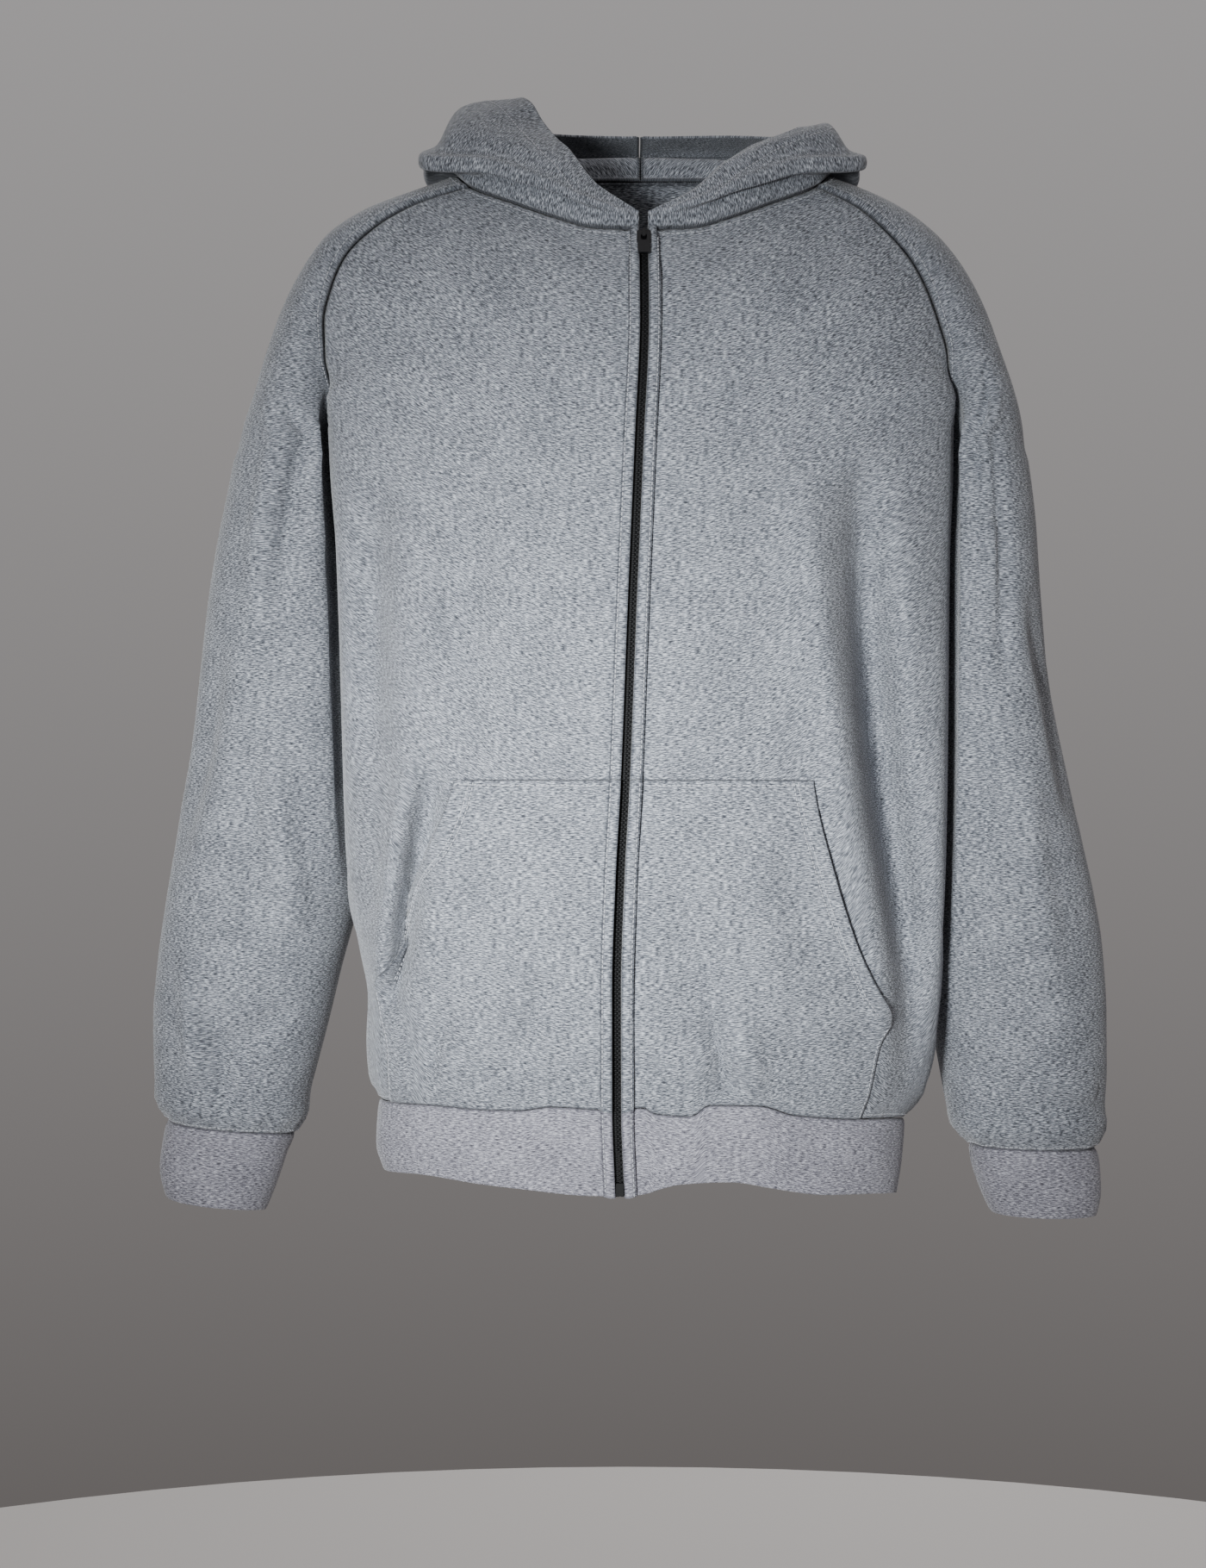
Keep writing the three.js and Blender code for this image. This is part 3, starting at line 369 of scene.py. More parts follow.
def crown_curve(side, t, row):
    points = np.zeros((len(t), 3))
    crest = [float(read(CREST[side], "row", row, name)) for name in ("out", "y", "z")]
    names = ("swell", "rise", "crown")
    swell, rise, crown = (float(read(YOKE, "row", row, name)) for name in names)
    for face, away in (("front", -1), ("back", 1)):
        chosen = t < 0.5 if face == "front" else t >= 0.5
        along = t[chosen] * 2 if face == "front" else 2 - t[chosen] * 2
        seam = yoke_row(side, face, row)[3]
        outs = [seam[0], seam[0] + swell, crest[0], crest[0]]
        ys = [seam[1], seam[1] + away * rise, crest[1] + away * crown, crest[1]]
        zs = [seam[2], mix(seam[2], crest[2], 0.45), crest[2], crest[2]]
        points[chosen] = np.stack([bezier(outs, along), bezier(ys, along), bezier(zs, along)], -1)
    return points


def crown_neck(t):
    front = mix(NECK_FRONT_SEAM, NECK_CREST, t * 2)
    return np.where(t < 0.5, front, mix(NECK_CREST, NECK_BACK_SEAM, t * 2 - 1))


def crown_point(side, t, row):
    """Points of one row of the sleeve above the underarm, from the front seam to the back."""
    fade = max(0, 1 - row / NECK_ROWS)
    points = crown_curve(side, t, row)
    points += fade * (neck_point(crown_neck(t)) - crown_curve(side, t, 0))
    if row > CREASE_ROW:
        for face in ("front", "back"):
            chosen = t < 0.5 if face == "front" else t >= 0.5
            outs, ys, _, seam = yoke_row(side, face, row)
            away = np.hypot(points[chosen, 0] - seam[0], points[chosen, 1] - seam[1])
            clear = CREASE_CLEAR * (row - CREASE_ROW) * np.minimum(1, away / CREASE_RUN)
            needed = row_reach(outs, ys, points[chosen, 1]) + clear
            points[chosen, 0] = np.maximum(points[chosen, 0], needed)
    return points


print("right shoulder's crest at row 4:", crown_point("right", np.array([0.5]), 4).round(1))

# %% [markdown]
# Below the underarm the sleeve is a ring at each height, with its own inner and outer
# edge, middle and depth. Where the body stands out under the arm, the ring is pushed
# clear of it. The cuff goes on from the last ring of the sleeve.

# %% Rows of the body, sleeves and cuffs below the underarm
SLEEVE_CLEAR = 7


def body_point(side, face, t, z):
    """Points of one row of the body below the underarm, without its folds."""
    outs, ys = body_row(side, face, z)
    droop = HEM_DROOP[side] * float(step(-z, DROOP_FROM, -HEM_SEAM_Z))
    return np.stack([bezier(outs, t), bezier(ys, t), z - droop * t ** DROOP_POWER], -1)


def ring_point(side, ring, t):
    """Points of one ring, with t from the inner edge round by the front."""
    along = np.where(t < 0.5, t * 2, 2 - t * 2)
    swell = np.where(t < 0.5, -1, 1) * ring["deep"] * 4 / 3
    out = bezier([ring["inner"], ring["inner"], ring["out"], ring["out"]], along)
    y = bezier([ring["y"], ring["y"] + swell, ring["y"] + swell, ring["y"]], along)
    return np.stack([out, y, ring["z"] - ring["slope"] * (1 - along)], -1)


def sleeve_ring(side, z):
    ring = {key: float(read(SLEEVE[side], "z", z, key)) for key in ("out", "inner", "y", "deep")}
    ring["z"] = z
    ring["slope"] = CUFF_SLOPE[side] * float(step(-z, 560, 682))
    return ring


def sleeve_point(side, t, z):
    points = ring_point(side, sleeve_ring(side, z), t)
    clear = SLEEVE_CLEAR * step(-points[:, 2], -UNDERARM_Z, -UNDERARM_Z + 25)
    level = np.maximum(points[:, 2], HEM_BOTTOM_Z)
    points[:, 0] = np.maximum(points[:, 0], body_reach(side, points[:, 1], level) + clear)
    return points


def cuff_point(side, t, low):
    """Points of a ring of the cuff, `low` below its seam."""
    seam_z = SLEEVE[side]["z"][-1]
    if low == 0:
        return sleeve_point(side, t, seam_z)
    ring = {key: float(read(CUFF[side], "z", low, key)) for key in ("out", "inner", "y", "deep")}
    ring["z"] = seam_z - low
    ring["slope"] = CUFF_SLOPE[side]
    return ring_point(side, ring, t)


print("left sleeve's edge at z -400:", sleeve_point("left", np.array([0.5]), -400).round(1))

# %% [markdown]
# The hood is given as cross sections at places along the neck seam. Each section rises
# from the seam, tucks under a roll, folds at the roll's edge and comes back up to the
# hemmed face edge. At the back the roll hangs down a long way, as the bag of the hood.

# %% Sections of the hood
HOOD = table("t turn baseO baseH tuckO tuckH foldO foldH rollO rollH creaseO creaseH bandO bandH", [
    [0, 10, 0.4, 2.5, 0.6, 4.5, 0.6, 6, 0.4, 7.5, 0.2, 9, -0.2, 10.5],
    [0.12, 22, 3, 8, 5, 12, 10, 14, 10, 18, 6, 20, 2, 24],
    [0.24, 34, 4, 12, 6, 17, 15, 17, 16, 24, 10, 29, 2, 40],
    [0.36, 46, 5, 12.5, 8, 17, 20, 17, 21, 26, 13, 30, 3, 42],
    [0.52, 64, 5.5, 9, 14, 9, 33, 8, 34, 17, 22, 22, 8, 40],
    [0.66, 95, 6, 10, 12, 10, 23, 3, 23, 14, 12, 22, -2, 48],
    [0.74, 126, 7, 12, 22, 5, 42, -3, 45, 9, 31, 18, 6, 46],
    [0.77, 140, 7, 13, 36, 1, 57, -16, 63, -2, 48, 8, 12, 44],
    [0.8, 150, 7, 15, 52, -8, 77, -66, 87, -50, 72, -12, 24, 40],
    [0.92, 168, 6, 17, 48, -58, 68, -172, 82, -150, 80, -62, 58, 30],
    [1, 180, 5, 18, 44, -72, 64, -212, 80, -188, 84, -90, 64, 30]])
HOOD_RIM = {
    "right": table("t out high", [
        [0, -0.6, 12], [0.12, -4, 30], [0.24, -16, 52], [0.36, -33, 56], [0.52, -52, 60],
        [0.62, -48, 57], [0.7, -34, 52], [0.8, 4, 50], [0.92, 34, 44], [1, 40, 44]]),
    "left": table("t out high", [
        [0, -0.6, 12], [0.12, -3, 25], [0.24, -9, 40], [0.36, -14, 44], [0.52, -16, 44],
        [0.66, -12, 40], [0.8, 14, 44], [0.92, 34, 44], [1, 40, 44]]),
}


LEFT_LOWER = 0.28
LOWER_AT = 0.7
LOWER_RUN = 0.13


def smooth_line(points, places):
    """Points of a centripetal Catmull-Rom curve through `points`, at even spans of it."""
    points = np.vstack([2 * points[0] - points[1], points, 2 * points[-1] - points[-2]])
    spans = len(points) - 3
    result = []
    for place in places:
        i = min(int(place * spans), spans - 1)
        f = place * spans - i
        a, b, c, d = points[i:i + 4]
        gaps = [max(np.linalg.norm(q - p), 1e-4) ** 0.5 for p, q in ((a, b), (b, c), (c, d))]
        m1 = ((b - a) / gaps[0] - (c - a) / (gaps[0] + gaps[1]) + (c - b) / gaps[1]) * gaps[1]
        m2 = ((c - b) / gaps[1] - (d - b) / (gaps[1] + gaps[2]) + (d - c) / gaps[2]) * gaps[1]
        square, cube = 3 * (c - b) - 2 * m1 - m2, 2 * (b - c) + m1 + m2
        result.append(b + m1 * f + square * f ** 2 + cube * f ** 3)
    return np.array(result)


def hood_section(side, t, places):
    """Points of one section of the hood, as (out, y, z)."""
    spots = [[0.0, 0.0]]
    for name in ("base", "tuck", "fold", "roll", "crease", "band"):
        spots.append([float(read(HOOD, "t", t, name + "O")), float(read(HOOD, "t", t, name + "H"))])
    rim = HOOD_RIM[side]
    spots.append([float(read(rim, "t", t, "out")), float(read(rim, "t", t, "high"))])
    line = smooth_line(np.array(spots), places)
    if side == "left":
        line[:, 1] *= 1 - LEFT_LOWER * bell(t - LOWER_AT, LOWER_RUN)
    turn = math.radians(float(read(HOOD, "t", t, "turn")))
    neck = neck_point(t)
    out = np.maximum(neck[0] + line[:, 0] * math.sin(turn), 0)
    return np.stack([out, neck[1] - line[:, 0] * math.cos(turn), neck[2] + line[:, 1]], -1)


hood_back = hood_section("right", 1.0, np.linspace(0, 1, 60))
print("the hood's lowest point at the back:", round(float(hood_back[:, 2].min()), 1))

# %% [markdown]
# The big folds of the body hang from the chest and run down beside the pockets. Each
# is a soft trough or ridge along a path, deepest in its middle and gone at its ends.
# They are placed where the cloth shows them, and like ones on the back. The
# deepest runs beside the wearer's left pocket, where the sleeve pushes the side in.

# %% The folds of the body
FOLDS = {
    ("right", "front"): [
        ([[158, -415], [170, -490], [186, -600]], 11, 8),
        ([[142, -420], [155, -500], [172, -600]], 10, -14),
        ([[184, -225], [188, -330], [186, -450]], 16, -12),
        ([[114, -215], [119, -330], [121, -450]], 20, -5.5),
        ([[140, -215], [133, -300], [140, -400]], 13, -2.5),
        ([[60, -560], [74, -600], [96, -645]], 12, -2),
        ([[128, -590], [140, -622], [144, -655]], 8, -2.2)],
    ("left", "front"): [
        ([[146, -215], [158, -380], [169, -463], [181, -536], [186, -585], [182, -655]], 15.5, -19),
        ([[152, -225], [166, -380], [178, -463], [188, -560]], 17, -9),
        ([[108, -225], [126, -380], [139, -463], [157, -536], [166, -577], [173, -650]], 15, 6),
        ([[44, -592], [50, -620], [57, -658]], 8, -5.5),
        ([[26, -515], [36, -560], [44, -620]], 24, -3.5),
        ([[62, -590], [70, -620], [76, -658]], 9, 3),
        ([[104, -230], [112, -320], [118, -410]], 18, 3),
        ([[206, -300], [207, -440], [207, -600]], 8, 4)],
    ("right", "back"): [
        ([[60, -300], [78, -430], [86, -560]], 24, -7),
        ([[140, -420], [150, -520], [150, -620]], 20, 6),
        ([[30, -560], [42, -610], [40, -655]], 13, -3),
        ([[118, -240], [112, -300], [104, -370]], 16, 3)],
    ("left", "back"): [
        ([[88, -260], [96, -400], [110, -520]], 24, -8),
        ([[30, -470], [36, -560], [32, -640]], 18, 5),
        ([[140, -380], [146, -470], [140, -560]], 18, 4),
        ([[84, -580], [92, -615], [88, -655]], 11, -3)],
}
FOLD_SHARE = 2.3
FOLD_WIDTH = 0.85


def fold_height(side, face, out, z):
    """How much the folds raise the cloth at a place."""
    height = np.zeros(np.shape(out))
    for path, wide, high in FOLDS[side, face]:
        rows = table("out z", path)
        along = (z - rows["z"][0]) / (rows["z"][-1] - rows["z"][0])
        if not 0 < along < 1:
            continue
        share = bell(out - read(rows, "z", z, "out"), wide * FOLD_WIDTH)
        height = height + FOLD_SHARE * high * share * math.sin(math.pi * along) ** 0.8
    return height


def folded_point(side, face, t, z):
    """A row of the body below the underarm, with its folds."""
    points = body_point(side, face, t, z)
    raised = fold_height(side, face, points[:, 0], z) * (1 - t ** 6)
    points[:, 1] += raised * (-1 if face == "front" else 1)
    return points


print(sum(len(folds) for folds in FOLDS.values()), "folds on the body")

# %% [markdown]
# Each piece of cloth starts as a net of points. Pieces that meet at a seam use the same
# points there, and share their normals, so light runs on smoothly over a seam and only
# the seam's own groove breaks it. Columns crowd towards the seams to carry that groove.

# %% Nets of points
NEAR_SEAM = np.array([0, 0.9, 2.0, 3.6, 6.0])
NET_STEP = 6.0


def spread(length, near_start, near_end):
    """Distances along a row: crowded at the ends that have a seam, even between."""
    low = NEAR_SEAM if near_start else np.array([0.0])
    high = length - (NEAR_SEAM if near_end else np.array([0.0]))[::-1]
    count = max(2, int(round((high[0] - low[-1]) / NET_STEP)) + 1)
    return np.concatenate([low[:-1], np.linspace(low[-1], high[0], count), high[1:]])


def curve_places(outs, lengths, counted):
    """The places t of a row at fixed shares of its length, measured outwards."""
    t = np.linspace(0, 1, 200)
    out = bezier(outs, t)
    travel = np.concatenate([[0], np.cumsum(np.abs(np.diff(out)) + 0.25)])
    return np.interp(counted / lengths * travel[-1], travel, t)


def crowded(near, first, last, count):
    """Places from 0 to 1, with the same few close to each end."""
    return np.concatenate([near, np.linspace(first, last, count), 1 - np.array(near)[::-1]])


FRONT_LENGTH = 240
BACK_LENGTH = 215
FRONT_SPREAD = spread(FRONT_LENGTH, True, True)
BACK_SPREAD = spread(BACK_LENGTH, False, True)
CROWN_T = crowded([0, 0.006, 0.014, 0.026], 0.042, 0.958, 57)


def row_key(side, face, row):
    """The outs of a row: rows from 0 to 9 are above the underarm, the others are heights."""
    return yoke_row(side, face, row)[0] if row >= 0 else body_row(side, face, row)[0]


def front_places(side, row):
    return curve_places(row_key(side, "front", row), FRONT_LENGTH, FRONT_SPREAD)


def back_places(side, row):
    return curve_places(row_key(side, "back", row), BACK_LENGTH, BACK_SPREAD)


def any_point(side, face, t, row):
    if row >= 0:
        return yoke_point(side, face, t, row)
    return hem_wave(side, face, folded_point(side, face, t, row), t, row)


HEM_SEAM_WAVE = {
    "right": table("out dz", [[0, 0], [34, 1.5], [63, 3], [86, 0], [110, 0], [144, 1.5], [190, 0]]),
    "left": table("out dz", [
        [0, 3], [6, -1], [32, -3], [44, 5], [79, 5], [103, -1], [144, -3], [200, -1]]),
}
HEM_EDGE_WAVE = {
    "right": table("out dz", [[0, 1], [34, 1], [86, 5], [110, 7], [155, 11], [190, 8]]),
    "left": table("out dz", [[0, 2], [25, 9], [60, 11], [89, 7], [124, 3], [168, 4], [200, 4]]),
}


def hem_wave(side, face, points, t, row):
    """How much the hem rides up or down: its seam and its lower edge each have a wave."""
    if row > -600:
        return points
    out = points[:, 0]
    waves = []
    for wave in (HEM_SEAM_WAVE[side], HEM_EDGE_WAVE[side]):
        if face == "front":
            waves.append(read(wave, "out", out, "dz"))
        else:
            waves.append(mix(3.0, wave["dz"][-1], t ** 2))
    low = float(np.clip((HEM_SEAM_Z - row) / (HEM_SEAM_Z - HEM_BOTTOM_Z), 0, 1))
    points[:, 2] += mix(waves[0], waves[1], low) * float(step(-row, 600, 656)) * step(t, 0, 0.04)
    return points


def signed(side, points):
    return points * np.array([SIDES[side], 1, 1])


YOKE_LEVELS = np.concatenate([[0, 0.04, 0.1, 0.2], np.arange(0.4, 9.01, 0.2)])
BODY_LEVELS = -np.concatenate([np.arange(196, 655, 6.0), [656, 658.4, 660, 661.1, 662]])
HEM_LEVELS = -np.concatenate([
    [662, 662.9, 664, 665.6, 668], np.arange(673, 716, 5.0), [717.5, 719.6, 721]])
LEVELS = np.concatenate([YOKE_LEVELS, BODY_LEVELS])


FAR = 90.0
SLEEVE_START = -209
KEEP_APART = 0.00371


class Sheet:
    """A net of points in mm with its shared normals and its distances across and along."""

    def __init__(self, points, sign):
        self.points = points
        self.sign = sign
        across = np.linalg.norm(np.diff(points, axis=1), axis=2)
        along = np.linalg.norm(np.diff(points, axis=0), axis=2)
        self.across = np.pad(np.cumsum(across, axis=1), ((0, 0), (1, 0)))
        self.along = np.pad(np.cumsum(along, axis=0), ((1, 0), (0, 0)))
        self.grain = (self.across, self.along)
        self.normals = np.zeros_like(points)
        # The distances to the nearest seam and stitched row steer painted shade in the fleece's
        # colour.
        self.seam = np.full(points.shape[:2], FAR)
        self.row = np.full(points.shape[:2], FAR)

    def near_seam(self, distance):
        self.seam = np.minimum(self.seam, distance)

    def cell_crosses(self):
        """For each cell the cross product of its diagonals, twice its area long."""
        p = self.points
        return np.cross(p[1:, 1:] - p[:-1, :-1], p[1:, :-1] - p[:-1, 1:])

    def corner_normals(self):
        face = self.cell_crosses() * self.sign
        total = np.zeros_like(self.points)
        total[:-1, :-1] += face
        total[:-1, 1:] += face
        total[1:, 1:] += face
        total[1:, :-1] += face
        return total

    def raise_by(self, height):
        self.points = self.points + self.normals * height[..., None]


def share_normals(sheets):
    """Gives every point the normal that all the sheets at that point have together."""
    flat = np.concatenate([sheet.points.reshape(-1, 3) for sheet in sheets])
    sums = np.concatenate([sheet.corner_normals().reshape(-1, 3) for sheet in sheets])
    _, which = np.unique(np.round(flat + KEEP_APART, 2), axis=0, return_inverse=True)
    which = which.ravel()
    total = np.stack([np.bincount(which, sums[:, k]) for k in range(3)], -1)[which]
    total /= np.maximum(np.linalg.norm(total, axis=1, keepdims=True), 1e-9)
    start = 0
    for sheet in sheets:
        count = sheet.points.shape[0] * sheet.points.shape[1]
        sheet.normals = total[start:start + count].reshape(sheet.points.shape)
        start += count


def sleeve_levels(side):
    last = SLEEVE[side]["z"][-1]
    return np.concatenate([
        np.arange(SLEEVE_START, last + 8, -NET_STEP), last + np.array([5, 3, 1.6, 0.7, 0])])


def front_sheet(side):
    rows = [signed(side, any_point(side, "front", front_places(side, row), row)) for row in LEVELS]
    return Sheet(np.array(rows), -SIDES[side])


def back_half(side, levels):
    return [signed(side, any_point(side, "back", back_places(side, row), row)) for row in levels]


def sleeve_sheet(side):
    rows = [signed(side, crown_point(side, CROWN_T, row)) for row in YOKE_LEVELS]
    rows += [signed(side, sleeve_point(side, CROWN_T, z)) for z in sleeve_levels(side)]
    sheet = Sheet(np.array(rows), -SIDES[side])
    crest = CROWN_T.size // 2
    level = np.broadcast_to(sheet.along.mean(axis=1, keepdims=True), sheet.along.shape)
    sheet.grain = (sheet.across - sheet.across[:, crest:crest + 1], level)
    return sheet


def cuff_sheet(side):
    lows = np.concatenate([[0, 0.8, 2, 4], np.arange(8, CUFF[side]["z"][-1] - 3, 4.5),
                           CUFF[side]["z"][-1] - np.array([2, 0.8, 0])])
    rows = [signed(side, cuff_point(side, CROWN_T, low)) for low in lows]
    return Sheet(np.array(rows), -SIDES[side])


def hem_sheet():
    rows = []
    for z in HEM_LEVELS:
        parts = []
        for side in ("right", "left"):
            front = signed(side, any_point(side, "front", front_places(side, z), z))
            back = signed(side, any_point(side, "back", back_places(side, z), z))
            parts.append(np.vstack([front, back[:-1][::-1]]))
        rows.append(np.vstack([parts[0], parts[1][:-1][::-1]]))
    return Sheet(np.array(rows), 1)


HOOD_U = np.concatenate([
    [0, 0.006, 0.014, 0.026], np.linspace(0.045, 0.955, 48), [0.972, 0.986, 0.995, 1]])


def hood_sheet(side):
    front = NECK_FRONT_SEAM * front_places(side, 0)
    crown = crown_neck(CROWN_T)
    back = (1 - (1 - NECK_BACK_SEAM) * back_places(side, 0))[::-1]
    places = np.concatenate([front, crown[1:], back[1:]])
    rows = [signed(side, hood_section(side, t, HOOD_U)) for t in places]
    return Sheet(np.array(rows), -SIDES[side])


sheets = {}
right_half, left_half = back_half("right", LEVELS), back_half("left", LEVELS)
back_rows = [np.vstack([right[1:][::-1], left]) for right, left in zip(right_half, left_half)]
sheets["back"] = Sheet(np.array(back_rows), 1)
sheets["hem_band"] = hem_sheet()
for side in SIDES:
    sheets["front_" + side] = front_sheet(side)
    sheets["sleeve_" + side] = sleeve_sheet(side)
    sheets["cuff_" + side] = cuff_sheet(side)
    sheets["hood_" + side] = hood_sheet(side)
share_normals(list(sheets.values()))
for name, sheet in sheets.items():
    print(name, sheet.points.shape[:2], "mean width", sheet.across[:, -1].mean().round(), "mm")

# %% [markdown]
# Small creases come after the nets, as lifts along the normals. Sewing pulls each edge
# down into a groove, a felled seam leaves a raised welt beside it, and knitted bands
# gather the cloth that is sewn to them. The sleeve's creases are paths on its surface.

# %% Grooves, welts, gathers and creases
SEAM_DEPTH = 1.3
SEAM_WIDTH = 1.9


def groove(distance, depth, width):
    return -depth * bell(distance, width)


def welt(distance, height, low, high):
    """A raised band between two distances from an edge."""
    rise = step(distance, low - 1.2, low + 0.8)
    return height * rise * (1 - step(distance, high - 0.8, high + 1.2))


def ripple(x, seed, period):
    """An uneven wave of about one, for gathers: two waves and a slow drift."""
    drift = 1.7 * np.sin(2 * math.pi * x / (period * 5.3) + seed)
    first = np.sin(2 * math.pi * x / period + seed * 2.1 + drift)
    return 0.65 * first + 0.35 * np.sin(2 * math.pi * x / (period * 0.61) + seed * 3.7)


def crease(x, y, path, wide, high):
    """A soft ridge or trough along a path in the plane of x and y, gone at both ends."""
    path = np.array(path, float)
    steps = np.linalg.norm(np.diff(path, axis=0), axis=1)
    total = steps.sum()
    best = np.full(np.shape(x), 1e9)
    where = np.zeros(np.shape(x))
    done = 0
    for (a, b), length in zip(zip(path[:-1], path[1:]), steps):
        share = ((x - a[0]) * (b[0] - a[0]) + (y - a[1]) * (b[1] - a[1])) / length ** 2
        share = np.clip(share, 0, 1)
        gap = np.hypot(x - a[0] - share * (b[0] - a[0]), y - a[1] - share * (b[1] - a[1]))
        nearer = gap < best
        best = np.where(nearer, gap, best)
        where = np.where(nearer, (done + share * length) / total, where)
        done += length
    return high * bell(best, wide) * np.sin(math.pi * np.clip(where, 0, 1)) ** 0.6


def edge_distances(sheet):
    """Distances to the first and last column and to the first and last row."""
    across, along = sheet.across, sheet.along
    return across, across[:, -1:] - across, along, along[-1:] - along


def seam_lift(sheet, *has_seam):
    """The groove of the seams that a sheet has, as four yes or no answers."""
    lifts = np.zeros(sheet.across.shape)
    for sewn, distance in zip(has_seam, edge_distances(sheet)):
        if sewn:
            lifts = lifts + groove(distance, SEAM_DEPTH, SEAM_WIDTH)
            sheet.near_seam(distance)
    return lifts


def gathers(x, below, height, reach, clear, seed, period):
    """Uneven ripples that a band draws into the cloth above it."""
    return height * bell(below, reach) * step(below, 0, clear) * ripple(x, seed, period)


print("a welt 4 mm from its edge lifts by", float(welt(4.0, 0.8, 1.5, 7)), "mm")

# %% [markdown]
# The sleeve hangs in long soft pleats under the arm, with cross creases where it bends
# at the elbow and piles up over the cuff. Each is a path of places on the sleeve laid
# flat: how far round it from the inner edge, on a scale of 400, and the height.

# %% Creases of the sleeves and hood
SLEEVE_FOLDS = {
    "left": [
        ([[70, -150], [86, -205], [104, -262]], 8, -4.5),
        ([[96, -165], [101, -240], [104, -330]], 9, 3.5),
        ([[108, -190], [112, -280], [110, -370]], 8, -3.5),
        ([[84, -395], [80, -450], [74, -520]], 8, -3),
        ([[118, -420], [112, -500], [116, -590]], 13, 3),
        ([[60, -560], [88, -590], [120, -600]], 9, -2.5),
        ([[100, -640], [128, -655], [160, -660]], 8, 2.4),
        ([[150, -300], [170, -380], [168, -470]], 16, -3),
        ([[250, -380], [280, -440], [320, -455]], 13, -4.5),
        ([[240, -430], [272, -485], [318, -505]], 12, 3.5),
        ([[255, -560], [290, -610], [300, -665]], 11, -3),
        ([[290, -210], [300, -280], [285, -350]], 14, 3)],
    "right": [
        ([[78, -165], [92, -235], [98, -320]], 10, -3.5),
        ([[112, -170], [118, -260], [112, -350]], 11, 3),
        ([[98, -415], [88, -480], [64, -545]], 9, 3.6),
        ([[116, -400], [108, -480], [92, -560]], 9, -3.2),
        ([[118, -598], [104, -640], [94, -678]], 6, -3.6),
        ([[140, -560], [128, -610], [124, -655]], 9, 3),
        ([[150, -330], [160, -420], [172, -500]], 15, -2.8),
        ([[60, -600], [84, -622], [112, -628]], 9, -2.4),
        ([[250, -390], [285, -450], [325, -470]], 13, -4.5),
        ([[245, -440], [280, -495], [322, -520]], 12, 3.5),
        ([[262, -570], [282, -615], [290, -660]], 11, -3),
        ([[300, -200], [305, -270], [295, -340]], 14, 3)],
}
UNROLLED = 400
SLEEVE_FOLD_SHARE = 2.8
RAGLAN_ROW = 6
OVER_CUFF = 3.0


def sleeve_lift(side):
    sheet = sheets["sleeve_" + side]
    first, last, _, below = edge_distances(sheet)
    x = np.broadcast_to(CROWN_T * UNROLLED, sheet.across.shape)
    z = sheet.points[..., 2]
    lift = seam_lift(sheet, False, False, True, True)
    seams = np.minimum(first, last)
    above = (np.arange(len(z)) < len(YOKE_LEVELS))[:, None]
    raglan = groove(seams, 1.5, SEAM_WIDTH) + welt(seams, 0.9, 1.2, 7)
    lift = lift + np.where(above, raglan, groove(seams, 0.7, 1.6))
    sheet.near_seam(seams)
    sheet.row = np.where(above, seams - RAGLAN_ROW, FAR)
    for path, wide, high in SLEEVE_FOLDS[side]:
        lift = lift + SLEEVE_FOLD_SHARE * crease(x, z, path, wide, high) * step(seams, 4, 26)
    lift = lift + gathers(first, below, 1.3, 22, 4, 1 + SIDES[side], 17)
    return lift + OVER_CUFF * bell(below - 17, 10)


def cuff_lift(side):
    sheet = sheets["cuff_" + side]
    lift = seam_lift(sheet, False, False, True, False)
    first, last, down, low = edge_distances(sheet)
    seams = np.minimum(first, last)
    sheet.near_seam(seams)
    lift = lift + groove(seams, 0.6, 1.5)
    return lift + 0.5 * bell(down, 12) * ripple(first, 2.2, 17) - 0.6 * step(-low, -3, 0)


def hem_lift():
    sheet = sheets["hem_band"]
    lift = seam_lift(sheet, False, False, True, False)
    first, last, down, _ = edge_distances(sheet)
    front = FRONT_SPREAD.size
    for column in (front - 1, first.shape[1] - front):
        lift = lift + groove(np.abs(first - first[:, column:column + 1]), 0.9, 1.7)
    waves = 0.9 * bell(down - 20, 18) * ripple(first, 0.4, 61)
    return lift + waves * step(first, 10, 40) * step(last, 10, 40)


def front_lift(side):
    sheet = sheets["front_" + side]
    lift = seam_lift(sheet, False, True, True, True)
    first, _, _, below = edge_distances(sheet)
    lift = lift + groove(np.abs(first - STRIP_WIDTH - 0.9), 2.0, 1.5)
    beside = np.abs(sheet.points[..., 2] - POCKET_TOP_Z - 2.2)
    lift = lift + groove(beside, 1.8, 2.0) * (1 - step(first, 108, 122))
    return lift + step(first, 60, 110) * gathers(first, below, 1.1, 18, 5, 0.7, 27)


def back_lift():
    sheet = sheets["back"]
    lift = seam_lift(sheet, True, True, True, True)
    first, _, _, below = edge_distances(sheet)
    return lift + gathers(first, below, 1.3, 20, 5, 1.9, 31)


HOOD_FOLDS = {
    "left": [
        ([[0.42, 0.3], [0.5, 0.45], [0.6, 0.5]], 0.03, 2.5),
        ([[0.83, 0.3], [0.9, 0.42], [1.0, 0.5]], 0.05, -4),
        ([[0.86, 0.55], [0.93, 0.62], [0.99, 0.7]], 0.05, 3)],
    "right": [
        ([[0.4, 0.35], [0.48, 0.5], [0.6, 0.52]], 0.03, -2.5),
        ([[0.82, 0.36], [0.9, 0.46], [0.97, 0.6]], 0.05, -4),
        ([[0.88, 0.25], [0.94, 0.3], [1.0, 0.34]], 0.05, 3)],
}
HOOD_HEM = 24


